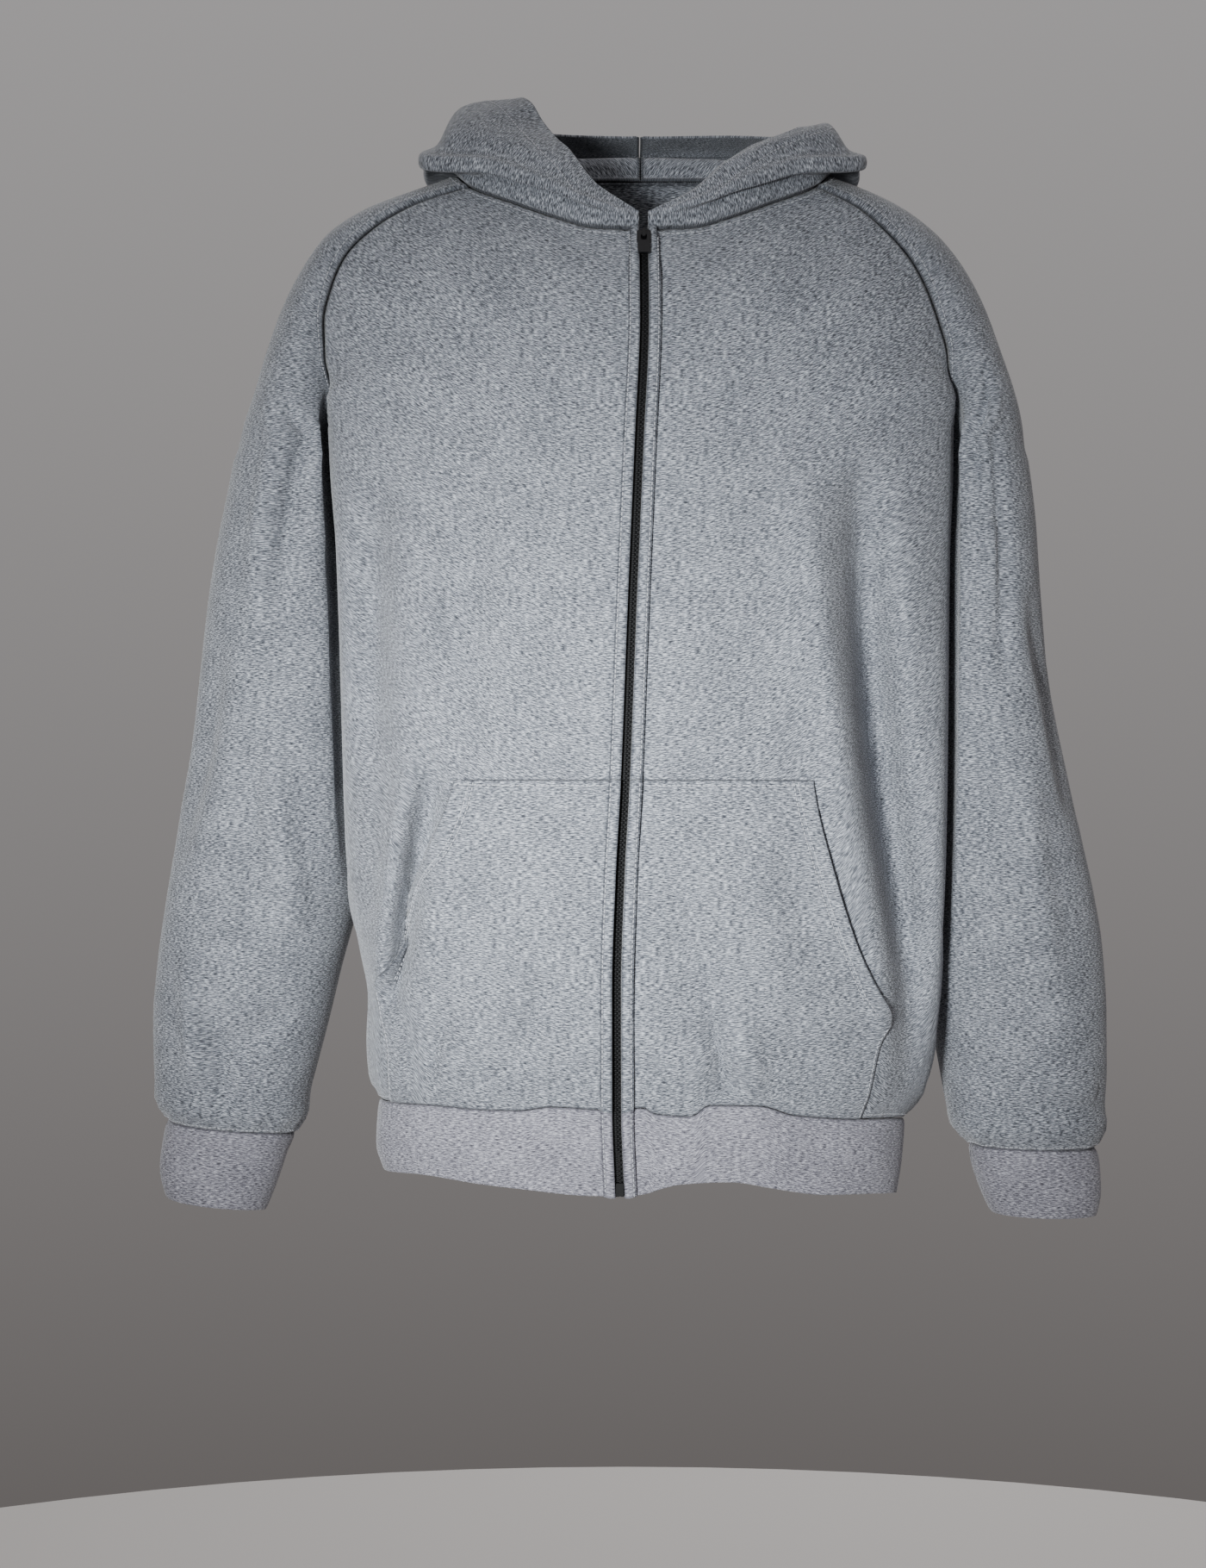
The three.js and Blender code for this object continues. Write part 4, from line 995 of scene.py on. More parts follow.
def hood_lift(side):
    sheet = sheets["hood_" + side]
    neck, rim, down, centre = edge_distances(sheet)
    lift = groove(neck, 1.6, SEAM_WIDTH) + welt(neck, 1.7, 1.6, 8.5)
    lift = lift + groove(centre, 1.2, 1.8) + welt(centre, 0.5, 1.5, 6)
    sheet.near_seam(neck)
    sheet.near_seam(centre)
    sheet.row = rim - HOOD_HEM
    places, shares = down / down[-1:], neck / neck[:, -1:]
    for path, wide, high in HOOD_FOLDS[side]:
        lift = lift + crease(places, shares, path, wide, high)
    return lift + groove(np.abs(rim - HOOD_HEM), 0.7, 1.6) * step(down, 20, 60)


lifts = {"back": back_lift(), "hem_band": hem_lift()}
for side in SIDES:
    lifts["front_" + side] = front_lift(side)
    lifts["sleeve_" + side] = sleeve_lift(side)
    lifts["cuff_" + side] = cuff_lift(side)
    lifts["hood_" + side] = hood_lift(side)
for name, lift in lifts.items():
    sheets[name].raise_by(lift)
share_normals(list(sheets.values()))
heights = np.concatenate([lift.ravel() for lift in lifts.values()])
print("lifts from", round(heights.min(), 1), "to", round(heights.max(), 1), "mm")

# %% [markdown]
# A net becomes a closed wall: the outer skin, an inner skin one cloth's thickness
# behind it, and a rim between them. The corners of the rim are drawn in, so that a cut
# edge looks rounded and two edges at a seam form a furrow. Two maps go with each wall:
# one lays the cloth flat in metres, the other holds the distance to the nearest seam.

# %% Walls of cloth
CORNER_IN = 0.55


def wall_mesh(sheet):
    """Vertices, faces and the two maps of a closed wall: the cloth itself, and its seams."""
    shape = sheet.points.shape[:2]
    flat, normals = sheet.points.reshape(-1, 3), sheet.normals.reshape(-1, 3)
    _, first, which = np.unique(
        np.round(flat + KEEP_APART, 2), axis=0, return_index=True, return_inverse=True)
    which = which.ravel()
    cells = np.arange(shape[0] * shape[1]).reshape(shape)
    corners = np.stack([cells[:-1, :-1], cells[:-1, 1:], cells[1:, 1:], cells[1:, :-1]], -1)
    corners = corners.reshape(-1, 4)
    if sheet.sign < 0:
        corners = corners[:, ::-1]
    spots, count = flat[first], len(first)
    ways = normals[first]
    cloth = np.stack([way.ravel() for way in sheet.grain], -1) * MM
    seams = np.stack([sheet.seam.ravel(), sheet.row.ravel()], -1) * MM
    faces, marks, once = [], [], {}
    for quad in corners:
        ids = which[quad]
        keep = [k for k in range(4) if ids[k] != ids[k - 1]]
        if len(keep) < 3 or len({int(ids[k]) for k in keep}) < len(keep):
            continue
        face = [int(ids[k]) for k in keep]
        faces.append(face)
        marks.append([int(quad[k]) for k in keep])
        for k, a in enumerate(face):
            b = face[(k + 1) % len(face)]
            if once.pop((b, a), None) is None:
                mark_a, mark_b = marks[-1][k], marks[-1][(k + 1) % len(face)]
                once[(a, b)] = (mark_a, mark_b, spots[face].mean(axis=0))
    inward = np.zeros((count, 3))
    for (a, b), (_, _, middle) in once.items():
        along = spots[b] - spots[a]
        into = middle - (spots[a] + spots[b]) / 2
        into -= along * (into @ along) / max(along @ along, 1e-9)
        into /= max(np.linalg.norm(into), 1e-9)
        inward[a] += into
        inward[b] += into
    size = np.linalg.norm(inward, axis=1, keepdims=True)
    inward = np.where(size > 1e-6, inward / np.maximum(size, 1e-6), 0)
    outer = spots + inward * CORNER_IN
    inner = outer - ways * WALL
    middle = spots - ways * WALL / 2
    rim_ids = sorted({i for edge in once for i in edge})
    rim = {i: 2 * count + n for n, i in enumerate(rim_ids)}
    all_faces = list(faces) + [[i + count for i in face[::-1]] for face in faces]
    all_marks = list(marks) + [mark[::-1] for mark in marks]
    for (a, b), (mark_a, mark_b, _) in once.items():
        all_faces += [[b, a, rim[a], rim[b]], [rim[b], rim[a], a + count, b + count]]
        all_marks += [[mark_b, mark_a, mark_a, mark_b]] * 2
    corner = np.concatenate([np.array(mark) for mark in all_marks])
    maps = {"cloth": cloth[corner], "seams": seams[corner]}
    return np.vstack([outer, inner, middle[rim_ids]]), all_faces, maps


def piece(name, vertices, faces, maps, finish, slot, replaced=()):
    """A Blender object from millimetres, which rides on the garment and stands for solids."""
    mesh = bpy.data.meshes.new(name)
    mesh.from_pydata((np.asarray(vertices) * MM).tolist(), [], faces)
    for map_name, corner in maps.items():
        layer = mesh.uv_layers.new(name=map_name)
        layer.data.foreach_set("uv", np.asarray(corner, float).ravel())
    mesh.polygons.foreach_set("use_smooth", [True] * len(mesh.polygons))
    mesh.materials.append(finish)
    made = bpy.data.objects.new(name, mesh)
    bpy.context.scene.collection.objects.link(made)
    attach(made, "garment")
    if replaced:
        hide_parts(*replaced)
    return made


print("the corners of a cut edge are drawn in by", CORNER_IN, "mm")

# %% [markdown]
# Marl fleece is knitted from mixed yarn, so its face shows short dashes of light and
# dark grey that run across the body. Two stretched noises make the dashes, on a map
# laid out in metres, so their size is the same on every piece. Bump gives the nap.
# Sewn edges and stitched rows are pressed in; painted shade darkens the colour along them.

# %% Shader maths
class Wire:
    """A shader value with plain operators, each of which adds a Math node."""

    def __init__(self, tree, socket):
        self.tree = tree
        self.socket = socket

    def math(self, operation, *others):
        node = self.tree.nodes.new("ShaderNodeMath")
        node.operation = operation
        for place, value in enumerate((self,) + others):
            if isinstance(value, Wire):
                self.tree.links.new(value.socket, node.inputs[place])
            else:
                node.inputs[place].default_value = value
        return Wire(self.tree, node.outputs[0])

    def __add__(self, other):
        return self.math("ADD", other)

    def __sub__(self, other):
        return self.math("SUBTRACT", other)

    def __rsub__(self, other):
        return self.math("MULTIPLY", -1.0).math("ADD", other)

    def __mul__(self, other):
        return self.math("MULTIPLY", other)

    def __truediv__(self, other):
        return self.math("DIVIDE", other)

    def smooth(self, low, high):
        """From 0 at `low` to 1 at `high`, held within those two."""
        return ((self - low) / (high - low)).math("MAXIMUM", 0.0).math("MINIMUM", 1.0)


class Finish:
    """A material with one Principled shader, and a way to add any node to it."""

    def __init__(self, name, **constants):
        self.material = bpy.data.materials.new(name)
        self.material.use_nodes = True
        self.tree = self.material.node_tree
        self.shader = self.tree.nodes["Principled BSDF"]
        for key, value in constants.items():
            self.shader.inputs[key.replace("_", " ")].default_value = value

    def node(self, kind, settings=None, sockets=None, output=0):
        """Any node: its settings first, then its values or links, by socket name."""
        made = self.tree.nodes.new(kind)
        for key, value in (settings or {}).items():
            setattr(made, key, value)
        for key, value in (sockets or {}).items():
            if isinstance(value, Wire):
                self.tree.links.new(value.socket, made.inputs[key])
            else:
                made.inputs[key].default_value = value
        return Wire(self.tree, made.outputs[output])

    def give(self, socket, wire):
        self.tree.links.new(wire.socket, self.shader.inputs[socket])

    def noise(self, place, size, detail=2.0, rough=0.5, stretch=(1, 1, 1)):
        """Noise of a size in metres, stretched along each way of the map."""
        scale = tuple(1 / (size * part) for part in stretch)
        spread_out = self.node("ShaderNodeMapping", {}, {"Vector": place, "Scale": scale})
        return self.node("ShaderNodeTexNoise", {"noise_dimensions": "3D"},
                         {"Vector": spread_out, "Scale": 1.0, "Detail": detail, "Roughness": rough})

    def blend(self, share, first, second):
        """A colour between two, by a share."""
        made = self.tree.nodes.new("ShaderNodeMix")
        made.data_type = "RGBA"
        for place, value in ((0, share), (6, first), (7, second)):
            if isinstance(value, Wire):
                self.tree.links.new(value.socket, made.inputs[place])
            else:
                made.inputs[place].default_value = value
        return Wire(self.tree, made.outputs[2])

    def bump(self, height, distance, strength=1.0):
        """Relief from a height between 0 and 1, in metres of `distance`."""
        self.give("Normal", self.node("ShaderNodeBump", {}, {
            "Strength": strength, "Distance": distance, "Height": height}))


def colour(red, green, blue):
    """A colour from its sRGB numbers out of 255."""
    def straight(v):
        v /= 255
        return v / 12.92 if v <= 0.04045 else ((v + 0.055) / 1.055) ** 2.4
    return (straight(red), straight(green), straight(blue), 1.0)


print("mid grey in straight light:", [round(v, 3) for v in colour(150, 153, 160)[:3]])

# %% The marl of the fleece and of its bands
YARN_SPAN = 0.5
SEAM_SHADE_SPAN = (0.0004, 0.002)
ROW_SHADE_SPAN = (0.0003, 0.0013)


def fleece(name, dark, mid, light, contrast):
    """Dashes of dark and light yarn over a mid grey, painted shade along seams and rows, and a nap.
    """
    made = Finish(name, Roughness=0.92, Sheen_Weight=0.22, Sheen_Roughness=0.5,
                  Specular_IOR_Level=0.25)
    place = made.node("ShaderNodeUVMap", {"uv_map": "cloth"})
    dashes = made.noise(place, 0.00056, 2.0, 0.55, stretch=(5.6, 0.9, 1))
    second = made.noise(place, 0.0012, 1.0, 0.4, stretch=(4.6, 0.7, 1))
    patches = made.noise(place, 0.022, 2.0, 0.5, stretch=(1.8, 1, 1))
    nap = made.noise(place, 0.0007, 2.0, 0.6)
    yarn = (dashes - 0.5) * (2.4 * contrast) + (second - 0.5) * (0.9 * contrast)
    yarn = yarn + (patches - 0.5) * 0.25
    darker = made.blend((0.02 - yarn).smooth(0.0, YARN_SPAN), mid, dark)
    marl = made.blend((yarn + 0.02).smooth(0.0, YARN_SPAN), darker, light)
    # Painted shade: near each seam and stitched row the colour is mixed towards the dark yarn.
    seams = made.node("ShaderNodeUVMap", {"uv_map": "seams"})
    seam = made.node("ShaderNodeSeparateXYZ", {}, {"Vector": seams}, 0)
    row = made.node("ShaderNodeSeparateXYZ", {}, {"Vector": seams}, 1).math("ABSOLUTE")
    painted_shade = (1 - seam.smooth(*SEAM_SHADE_SPAN)) * 0.72 + (1 - row.smooth(*ROW_SHADE_SPAN)) * 0.4
    made.give("Base Color", made.blend(painted_shade, marl, dark))
    made.bump(nap * 0.55 + dashes * 0.45, 0.0009, 0.55)
    return made.material


MARL = fleece("marl_fleece", colour(48, 50, 56), colour(108, 112, 120), colour(196, 200, 208), 1.15)
BAND = fleece("band_rib", colour(64, 63, 70), colour(127, 126, 136), colour(194, 193, 202), 1.05)
MARL_CLOTH = (MARL, "marl_fleece")
BAND_CLOTH = (BAND, "band_rib")
print("made", MARL.name, "and", BAND.name)

# %% [markdown]
# The small hard and woven things each have two close shades mixed by a fine noise, on
# the piece's own coordinates so that the pattern moves with the pull tab. The zip of
# the hoodie is matt black all over, and its thread is a shade lighter than the fleece.

# %% Thread, zip tape and painted metal
def two_shades(name, size, dark, light, detail=1.0, rough=0.5, stretch=(1, 1, 1), **constants):
    """A finish with two mixed shades, and the noise that mixes them."""
    made = Finish(name, **constants)
    place = made.node("ShaderNodeTexCoord", {}, {}, OBJECT_PLACE)
    noise = made.noise(place, size, detail, rough, stretch)
    made.give("Base Color", made.blend(noise, dark, light))
    return made, noise


OBJECT_PLACE = 3
thread, _ = two_shades("thread", 0.003, colour(150, 152, 158), colour(196, 198, 204),
                       Roughness=0.6, Sheen_Weight=0.1)
tape, twill = two_shades("zip_tape", 0.0006, colour(4, 4, 5), colour(12, 12, 14),
                         stretch=(2, 1, 1), Roughness=0.85, Sheen_Weight=0.05)
tape.bump(twill, 0.0003, 0.5)
coil, _ = two_shades("zip_coil", 0.004, colour(4, 4, 5), colour(11, 11, 13),
                     Roughness=0.6, Specular_IOR_Level=0.25)
metal, wear = two_shades("zip_metal", 0.0025, colour(12, 12, 14), colour(28, 28, 32), 3.0, 0.6,
                         Metallic=0.45, Coat_Weight=0.25, Coat_Roughness=0.3)
metal.give("Roughness", wear * 0.25 + 0.3)
THREAD, TAPE, COIL, METAL = (made.material for made in (thread, tape, coil, metal))
print("made", THREAD.name, TAPE.name, COIL.name, METAL.name)

# %% [markdown]
# The main pieces stand for their solids one by one. Every piece here is a sheet of
# cloth that was cut flat and sewn, so for each the rectangle that its pattern piece
# needs and the real area of its cut are printed.

# %% The panels, bands and hood
def sheet_area(sheet):
    """The area of a net in square metres."""
    return float(np.linalg.norm(sheet.cell_crosses(), axis=2).sum() / 2) * MM * MM


def declare(made, sheet, flat):
    """Prints a piece's name, its flat size in metres and its area."""
    area = min(sheet_area(sheet), flat[0] * flat[1])
    print(made.name, "flat", flat, "m, area", round(area, 4), "m2")


FLAT = {
    "front": (0.32, 0.69), "back": (0.52, 0.71), "sleeve": (0.47, 0.76), "cuff": (0.28, 0.066),
    "hem_band": (1.0, 0.066), "hood": (0.42, 0.33), "pocket": (0.2, 0.235)}

for name, sheet in sheets.items():
    cloth = BAND_CLOTH if name.startswith(("cuff", "hem")) else MARL_CLOTH
    made = piece("cloth_" + name, *wall_mesh(sheet), *cloth, [name])
    declare(made, sheet, FLAT[name if name in FLAT else name.split("_")[0]])

# %% [markdown]
# The pockets lie on the fronts. Each is a second layer of the same form, one cloth
# higher, sewn down at its top, at the hem and along its lower outer edge. Its slanted
# mouth is turned in and stitched twice, and it stands off a little, as a hand leaves it.

# %% The split pockets
POCKET_EDGE = {
    "right": table("z out", [
        [-200, 120], [-437, 129], [-486, 142], [-521, 157], [-558, 174], [-579, 185],
        [-600, 182], [-621, 177], [-662, 176], [-721, 174]]),
    "left": table("z out", [
        [-200, 108], [-437, 115], [-505, 131], [-536, 142], [-578, 161], [-598, 170],
        [-612, 163], [-646, 155], [-662, 150], [-721, 148]]),
}
MOUTH_LOW = {"right": -579, "left": -598}
MOUTH_HEM = 15
MOUTH_OPEN = 5.5
POCKET_PUFF = 1.8
POCKET_FOLDS = {
    "right": [
        ([[96, -470], [112, -520], [128, -566]], 10, -2.2),
        ([[40, -590], [52, -625], [56, -655]], 9, -2),
        ([[116, -600], [132, -628], [140, -655]], 8, 2)],
    "left": [
        ([[92, -470], [104, -520], [120, -570]], 10, -1.8),
        ([[96, -600], [108, -630], [112, -656]], 8, -2.2),
        ([[74, -480], [84, -540], [92, -590]], 13, 1.8)],
}


def where_out(outs, target):
    """The place along a row where it reaches a distance out."""
    t = np.linspace(0, 1, 600)
    out = bezier(outs, t)
    past = np.argmax(out >= target)
    share = (target - out[past - 1]) / (out[past] - out[past - 1])
    return float(t[past - 1] + (t[past] - t[past - 1]) * share)


def part_of_front(side, levels, reach, shares):
    """A net over the inner part of a front, at even shares out to where `reach` says."""
    rows = []
    for level in levels:
        outs = row_key(side, "front", level)
        z = float(read(YOKE, "row", level, "front")) if level >= 0 else level
        rows.append(signed(side, any_point(side, "front", reach(outs, z) * shares, level)))
    sheet = Sheet(np.array(rows), -SIDES[side])
    share_normals([sheet])
    return sheet


def edge_shares(count, ends=0.025):
    inner = np.linspace(ends, 1 - ends, count)
    return np.concatenate([[0, ends * 0.35], inner, [1 - ends * 0.35, 1]])


POCKET_LEVELS = -np.concatenate([
    [437, 438, 439.6, 442], np.arange(446, 652, 5.0), [655, 658, 660, 661.2, 662]])


def pocket_sheet(side):
    def reach(outs, z):
        return where_out(outs, float(read(POCKET_EDGE[side], "z", z, "out")))

    sheet = part_of_front(side, POCKET_LEVELS, reach, edge_shares(36))
    first, rim, top, low = edge_distances(sheet)
    z = sheet.points[..., 2]
    mouth = np.clip((POCKET_TOP_Z - z) / (POCKET_TOP_Z - MOUTH_LOW[side]), 0, 1)
    lift = LAYER + groove(np.abs(first - STRIP_WIDTH - 0.9), 1.6, 1.5)
    lift = lift + MOUTH_OPEN * np.sin(math.pi * mouth) ** 0.7 * bell(rim, 16)
    turned_in = 0.5 * (1 - step(rim, MOUTH_HEM - 1, MOUTH_HEM + 1))
    lift = lift + (turned_in + groove(np.abs(rim - MOUTH_HEM), 0.6, 1.4)) * (mouth < 1)
    lift = lift + groove(rim, 0.9, 1.6) + groove(low, 1.2, SEAM_WIDTH)
    lift = lift + groove(np.abs(top - 4), 0.5, 1.3)
    # The mouth edge counts as a seam too, so painted shade darkens it as a painted shadow under the
    # raised mouth; its stitched rows get painted shade as well.
    for distance in (rim, top, low):
        sheet.near_seam(distance)
    sheet.row = np.where(mouth < 1, rim - MOUTH_HEM, FAR)
    away = np.abs(sheet.points[..., 0])
    for path, wide, high in POCKET_FOLDS[side]:
        lift = lift + crease(away, z, path, wide, high)
    puff = POCKET_PUFF * np.sin(math.pi * np.clip(first / first[:, -1:], 0, 1))
    sheet.raise_by(lift + puff * step(top, 5, 60) * step(low, 5, 40))
    share_normals([sheet])
    return sheet


pockets = {}
for side in SIDES:
    name = "pocket_" + side
    pockets[side] = pocket_sheet(side)
    made = piece("cloth_" + name, *wall_mesh(pockets[side]), *MARL_CLOTH, [name])
    declare(made, pockets[side], FLAT["pocket"])

# %% [markdown]
# A narrow raised strip runs beside each half of the zip, in three lengths: the chest,
# the pocket and the hem. It is the folded edge of the front, stitched flat. The zip's
# own teeth are a fine nylon coil, so each half gets a row of small rounded beads.

# %% The strips beside the zip
above_pocket = BODY_LEVELS[BODY_LEVELS > POCKET_TOP_Z]
chest_levels = np.concatenate([YOKE_LEVELS, above_pocket, [POCKET_TOP_Z]])
STRIP_ROW = 6.6
STRIPS = {
    "chest": (chest_levels, LAYER, 0.4),
    "pocket": (POCKET_LEVELS, LAYER * 2, 0.24),
    "hem": (HEM_LEVELS, LAYER, 0.066),
}


def strip_sheet(side, levels, height):
    def reach(outs, z):
        return where_out(outs, outs[0] + STRIP_WIDTH)

    sheet = part_of_front(side, levels, reach, edge_shares(9, 0.06))
    first, last, _, _ = edge_distances(sheet)
    share = first / first[:, -1:]
    dome = 1.5 * np.sin(math.pi * share) ** 0.6
    # Painted shade darkens both edges of the strip and its stitched row.
    sheet.near_seam(np.minimum(first, last))
    sheet.row = first - STRIP_ROW
    sheet.raise_by(height + dome + groove(np.abs(share - 0.8), 0.5, 0.1))
    share_normals([sheet])
    return sheet


strips = {}
for side in SIDES:
    for part, (levels, height, length) in STRIPS.items():
        name = "strip_" + part + "_" + side
        strips[name] = strip_sheet(side, levels, height)
        cloth = BAND_CLOTH if part == "hem" else MARL_CLOTH
        made = piece("cloth_" + name, *wall_mesh(strips[name]), *cloth, [name])
        "cloth_front_" + side
        print(made.name, "is", round(strips[name].along[-1, 0]), "mm long")

# %% The coil of the zip
TOOTH_PITCH = 1.5
TOOTH = (1.25, 0.75, 0.5)
TOOTH_DEEP = 1.5
TOOTH_SHIFT = 0.75


def bead_rows(centres, ways, sizes):
    """One mesh of small boxes with cut corners: centres, their three directions, half sizes."""
    ring = [(-0.62, 1), (0.62, 1), (1, 0.5), (1, -0.5),
            (0.62, -1), (-0.62, -1), (-1, -0.5), (-1, 0.5)]
    profile = [(-1, 0.45), (-0.6, 1), (0.6, 1), (1, 0.45)]
    unit = np.array([[along, size * a, size * b] for along, size in profile for a, b in ring])
    faces = [[k * 8 + j, k * 8 + (j + 1) % 8, k * 8 + 8 + (j + 1) % 8, k * 8 + 8 + j]
             for k in range(3) for j in range(8)]
    faces += [list(range(7, -1, -1)), list(range(24, 32))]
    points = centres[:, None] + np.einsum("kc,ncd->nkd", unit * np.array(sizes), ways)
    count = len(unit)
    all_faces = [[i + n * count for i in face] for n in range(len(centres)) for face in faces]
    return points.reshape(-1, 3), all_faces


def zip_teeth():
    levels = np.arange(-58, HEM_BOTTOM_Z + 10, -TOOTH_PITCH)
    centres, ways = [], []
    for n, z in enumerate(levels):
        shift = TOOTH_SHIFT if n % 2 else -TOOTH_SHIFT
        above, y, below = (float(read(MIDDLE["front"], "z", z + up, "y")) for up in (1, 0, -1))
        slope = (below - above) / 2
        down = np.array([0, slope, -1]) / math.hypot(1, slope)
        forward = np.cross(down, [1, 0, 0])
        forward = forward if forward[1] < 0 else -forward
        centre = np.array([float(read(ZIP_LINE, "z", z, "x")) + shift, y, z])
        centres.append(centre - forward * TOOTH_DEEP)
        ways.append([[1, 0, 0], down, forward])
    return bead_rows(np.array(centres), np.array(ways), TOOTH)


teeth_points, teeth_faces = zip_teeth()
piece("zip_coil", teeth_points, teeth_faces, {}, COIL, "zip_tape")
for name, finish in (("zip_tape_right", TAPE), ("zip_tape_left", TAPE), ("zip_box", COIL),
                     ("zip_slider", METAL), ("zip_pull", METAL)):
    solid = bpy.data.objects[name]
    for slot in solid.material_slots:
        slot.material = finish
print(len(teeth_points) // 32, "teeth")

# %% [markdown]
# Stitches hold all this down. Each visible row is a line on a net at a set distance
# from an edge, and each stitch is a small bead of thread half sunk in the cloth. Rows
# of one kind are joined into one mesh, so that the scene stays light.

# %% Rows of stitches
STITCH_PITCH = 3.4
STITCH = (1.2, 0.36, 0.36)
STITCH_RISE = 0.12
STITCH_AIM = 0.6
HEM_STITCH = 3.6
NECK_STITCH = 5.6


def column_line(sheet, distance, from_end, first=0, last=None):
    """Points and normals at a distance from the first or last column."""
    line = []
    for i in range(len(sheet.points))[first:last]:
        away = sheet.across[i, -1] - sheet.across[i] if from_end else sheet.across[i]
        if away.max() >= distance:
            line.append(at_distance(distance, away, sheet.points[i], sheet.normals[i]))
    return np.array(line).transpose(1, 0, 2)


def row_line(sheet, distance, from_end, first=0, last=None):
    """Points and normals at a distance from the first or last row."""
    line = []
    for j in range(sheet.points.shape[1])[first:last]:
        away = sheet.along[-1, j] - sheet.along[:, j] if from_end else sheet.along[:, j]
        line.append(at_distance(distance, away, sheet.points[:, j], sheet.normals[:, j]))
    return np.array(line).transpose(1, 0, 2)


def at_distance(distance, away, points, normals):
    """The point and the normal where `away` is the distance."""
    order = np.argsort(away)
    return [[np.interp(distance, away[order], values[order, k]) for k in range(3)]
            for values in (points, normals)]


def stitch_places(line):
    """Centres and directions of stitches at even steps along a line."""
    points, normals = line
    travel = np.concatenate([[0], np.cumsum(np.linalg.norm(np.diff(points, axis=0), axis=1))])
    at = np.arange(STITCH_PITCH, travel[-1] - STITCH_PITCH / 2, STITCH_PITCH)
    centre = np.stack([np.interp(at, travel, points[:, k]) for k in range(3)], -1)
    ahead = np.stack([np.interp(at + STITCH_AIM, travel, points[:, k]) for k in range(3)], -1)
    normal = np.stack([np.interp(at, travel, normals[:, k]) for k in range(3)], -1)
    along = ahead - centre
    along /= np.maximum(np.linalg.norm(along, axis=1, keepdims=True), 1e-9)
    normal -= along * (normal * along).sum(axis=1, keepdims=True)
    normal /= np.maximum(np.linalg.norm(normal, axis=1, keepdims=True), 1e-9)
    return centre + normal * STITCH_RISE, np.stack([along, np.cross(along, normal), normal], 1)


def stitch_piece(name, lines):
    found = [stitch_places(line) for line in lines]
    centres = np.concatenate([centre for centre, _ in found])
    ways = np.concatenate([way for _, way in found])
    points, faces = bead_rows(centres, ways, STITCH)
    piece(name, points, faces, {}, THREAD, "marl_fleece")
    print(name, "has", len(centres), "stitches")


above_arm = len(YOKE_LEVELS) - 3
for side in SIDES:
    sleeve, front, hood = sheets["sleeve_" + side], sheets["front_" + side], sheets["hood_" + side]
    stitch_piece("stitches_raglan_" + side, [
        column_line(sleeve, RAGLAN_ROW, from_end, 1, above_arm) for from_end in (False, True)])
    stitch_piece("stitches_neck_" + side, [
        row_line(front, NECK_STITCH, False, 2), row_line(sleeve, NECK_STITCH, False, 2, -2)])
    stitch_piece("stitches_hem_" + side, [row_line(front, HEM_STITCH, True, 3, -1)])
    stitch_piece("stitches_cuff_" + side, [row_line(sleeve, HEM_STITCH, True)])
    stitch_piece("stitches_hood_" + side, [
        column_line(hood, HOOD_HEM, True, 16), row_line(hood, 4.2, True, 3, -3)])
    pocket = pockets[side]
    mouth_end = int(np.argmax(POCKET_LEVELS < MOUTH_LOW[side]))
    stitch_piece("stitches_pocket_" + side, [
        column_line(pocket, MOUTH_HEM, True, 0, mouth_end),
        column_line(pocket, MOUTH_HEM - 3, True, 0, mouth_end),
        column_line(pocket, 3, True, mouth_end), row_line(pocket, 4, False, 4)])
    for part in STRIPS:
        stitch_piece("stitches_strip_" + part + "_" + side, [
            column_line(strips["strip_" + part + "_" + side], STRIP_ROW, False)])
back = sheets["back"]
stitch_piece("stitches_back", [
    row_line(back, HEM_STITCH, True, 1, -1), row_line(back, NECK_STITCH, False, 1, -1)])

# %% [markdown]
# The picture was lit by one broad soft light in front, at about the height of the
# waist, with little from above: the belly is bright and the hood dark. The same light
# stands here, a little to the left, with a soft sky and a pale floor.

# %% Floor, sky and lights
FLOOR_SIDES = 96
FLOOR_REACH = 1.5
FLOOR_Z = -1.3
SKY_BLEND = 0.3
SKY_STRENGTH = 0.42


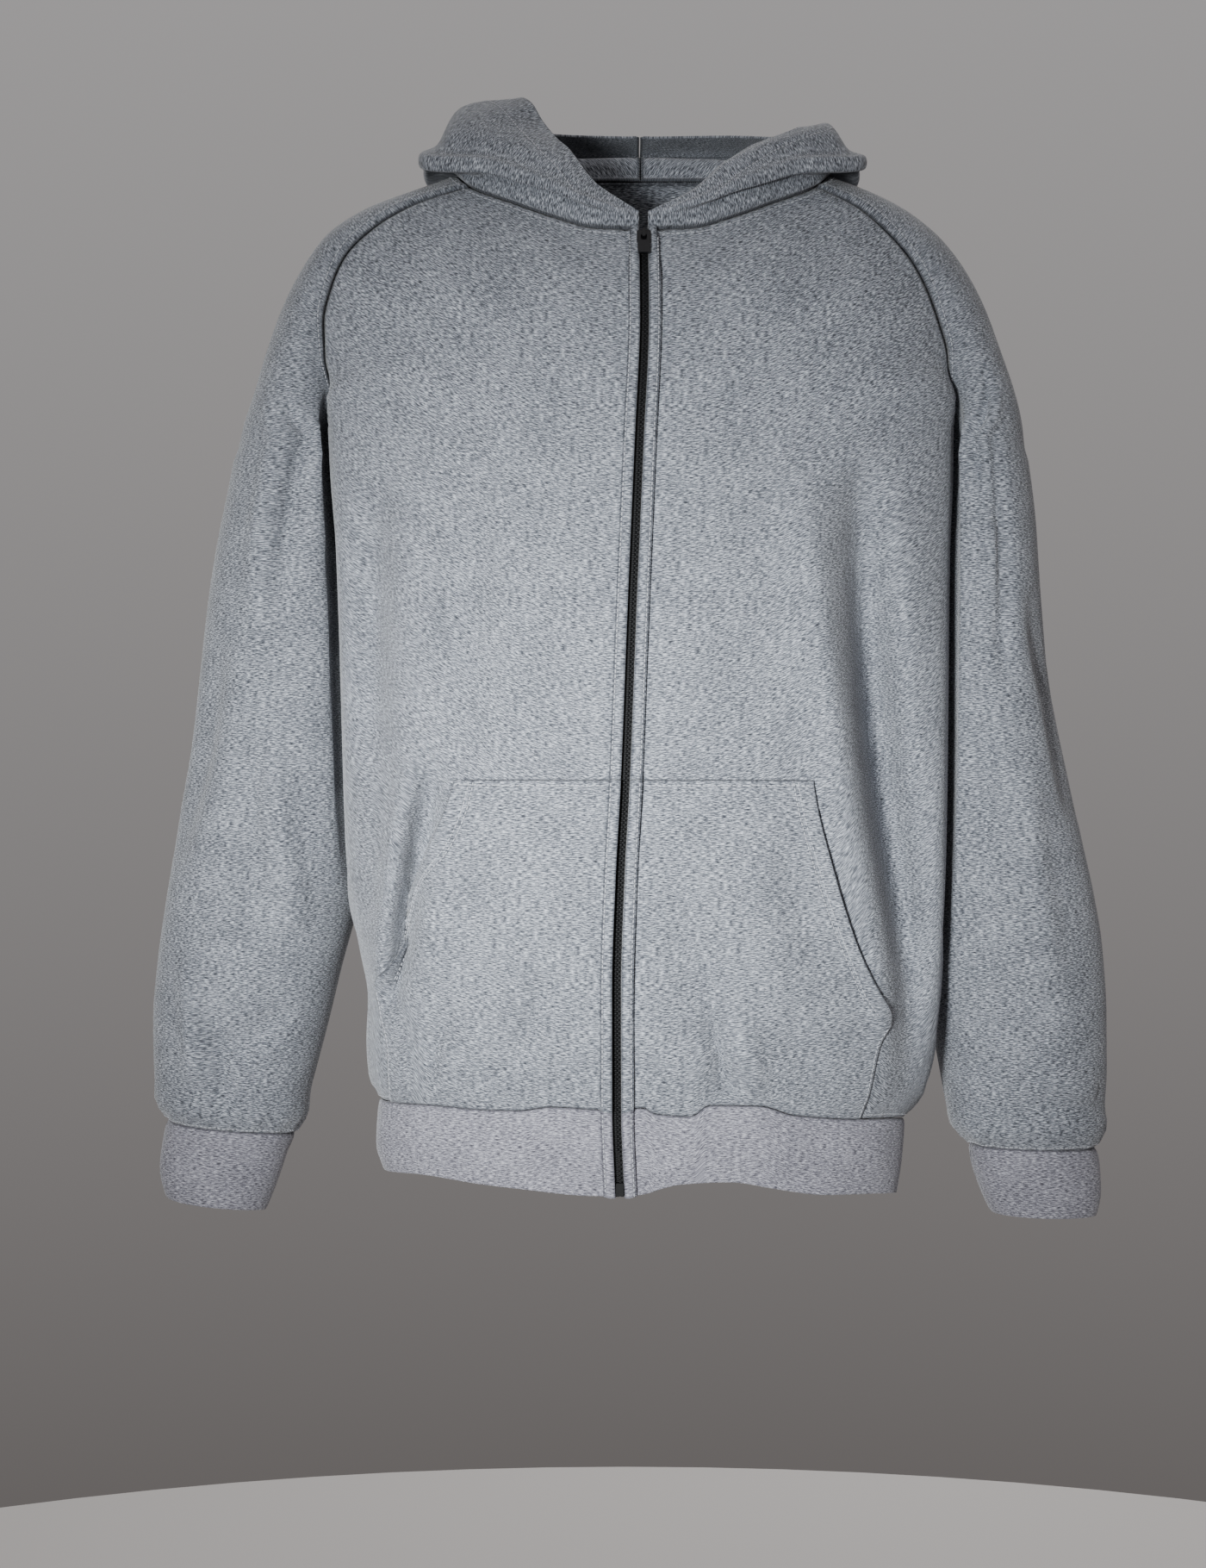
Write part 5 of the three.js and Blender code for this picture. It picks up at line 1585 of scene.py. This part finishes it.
def light(name, place, aim, size, power, tint):
    """A rectangular soft box that looks at a point."""
    data = bpy.data.lights.new(name, "AREA")
    data.shape = "RECTANGLE"
    data.size, data.size_y = size
    data.energy = power
    data.color = tint
    made = bpy.data.objects.new(name, data)
    made.location = place
    way = np.array(aim) - np.array(place)
    flat = math.hypot(way[0], way[1])
    made.rotation_euler = (math.pi / 2 + math.atan2(way[2], flat), 0, math.atan2(-way[0], way[1]))
    bpy.context.scene.collection.objects.link(made)
    return made


def make_floor():
    """A round pale floor well under the hem."""
    turns = np.linspace(0, 2 * math.pi, FLOOR_SIDES + 1)[:-1]
    points = [(FLOOR_REACH * math.cos(a), FLOOR_REACH * math.sin(a), FLOOR_Z) for a in turns]
    mesh = bpy.data.meshes.new("floor")
    mesh.from_pydata(points, [], [list(range(FLOOR_SIDES))])
    pale = Finish("pale_floor", Base_Color=colour(200, 197, 195), Roughness=0.9)
    mesh.materials.append(pale.material)
    made = bpy.data.objects.new("floor", mesh)
    bpy.context.scene.collection.objects.link(made)


def make_studio():
    """A pale room: a soft sky, brighter above than below."""
    world = bpy.data.worlds.new("studio")
    world.use_nodes = True
    tree = world.node_tree
    place = tree.nodes.new("ShaderNodeTexCoord")
    parts = tree.nodes.new("ShaderNodeSeparateXYZ")
    rise = tree.nodes.new("ShaderNodeMapRange")
    rise.inputs["From Min"].default_value = -SKY_BLEND
    rise.inputs["From Max"].default_value = SKY_BLEND
    shades = tree.nodes.new("ShaderNodeMix")
    shades.data_type = "RGBA"
    shades.inputs[6].default_value = (0.27, 0.245, 0.235, 1)
    shades.inputs[7].default_value = (0.9, 0.87, 0.87, 1)
    tree.links.new(place.outputs["Generated"], parts.inputs[0])
    tree.links.new(parts.outputs["Z"], rise.inputs["Value"])
    tree.links.new(rise.outputs["Result"], shades.inputs[0])
    tree.links.new(shades.outputs[2], tree.nodes["Background"].inputs[0])
    tree.nodes["Background"].inputs[1].default_value = SKY_STRENGTH
    bpy.context.scene.world = world


make_floor()
make_studio()
front = light("front", (-0.6, -2.3, -0.5), (-0.02, 0, -0.45), (0.35, 0.35), 3.3,
              (0.95, 0.985, 1.0))
front.data.spread = math.radians(26)
light("above", (0.3, -1.2, 1.8), (0, 0.1, -0.3), (1.6, 1.2), 2, (1.0, 0.98, 0.96))
light("behind", (0.5, 2.2, 0.9), (0, 0, -0.4), (1.6, 1.2), 38, (1.0, 0.99, 0.98))
print("three lights, a pale floor and a soft sky")
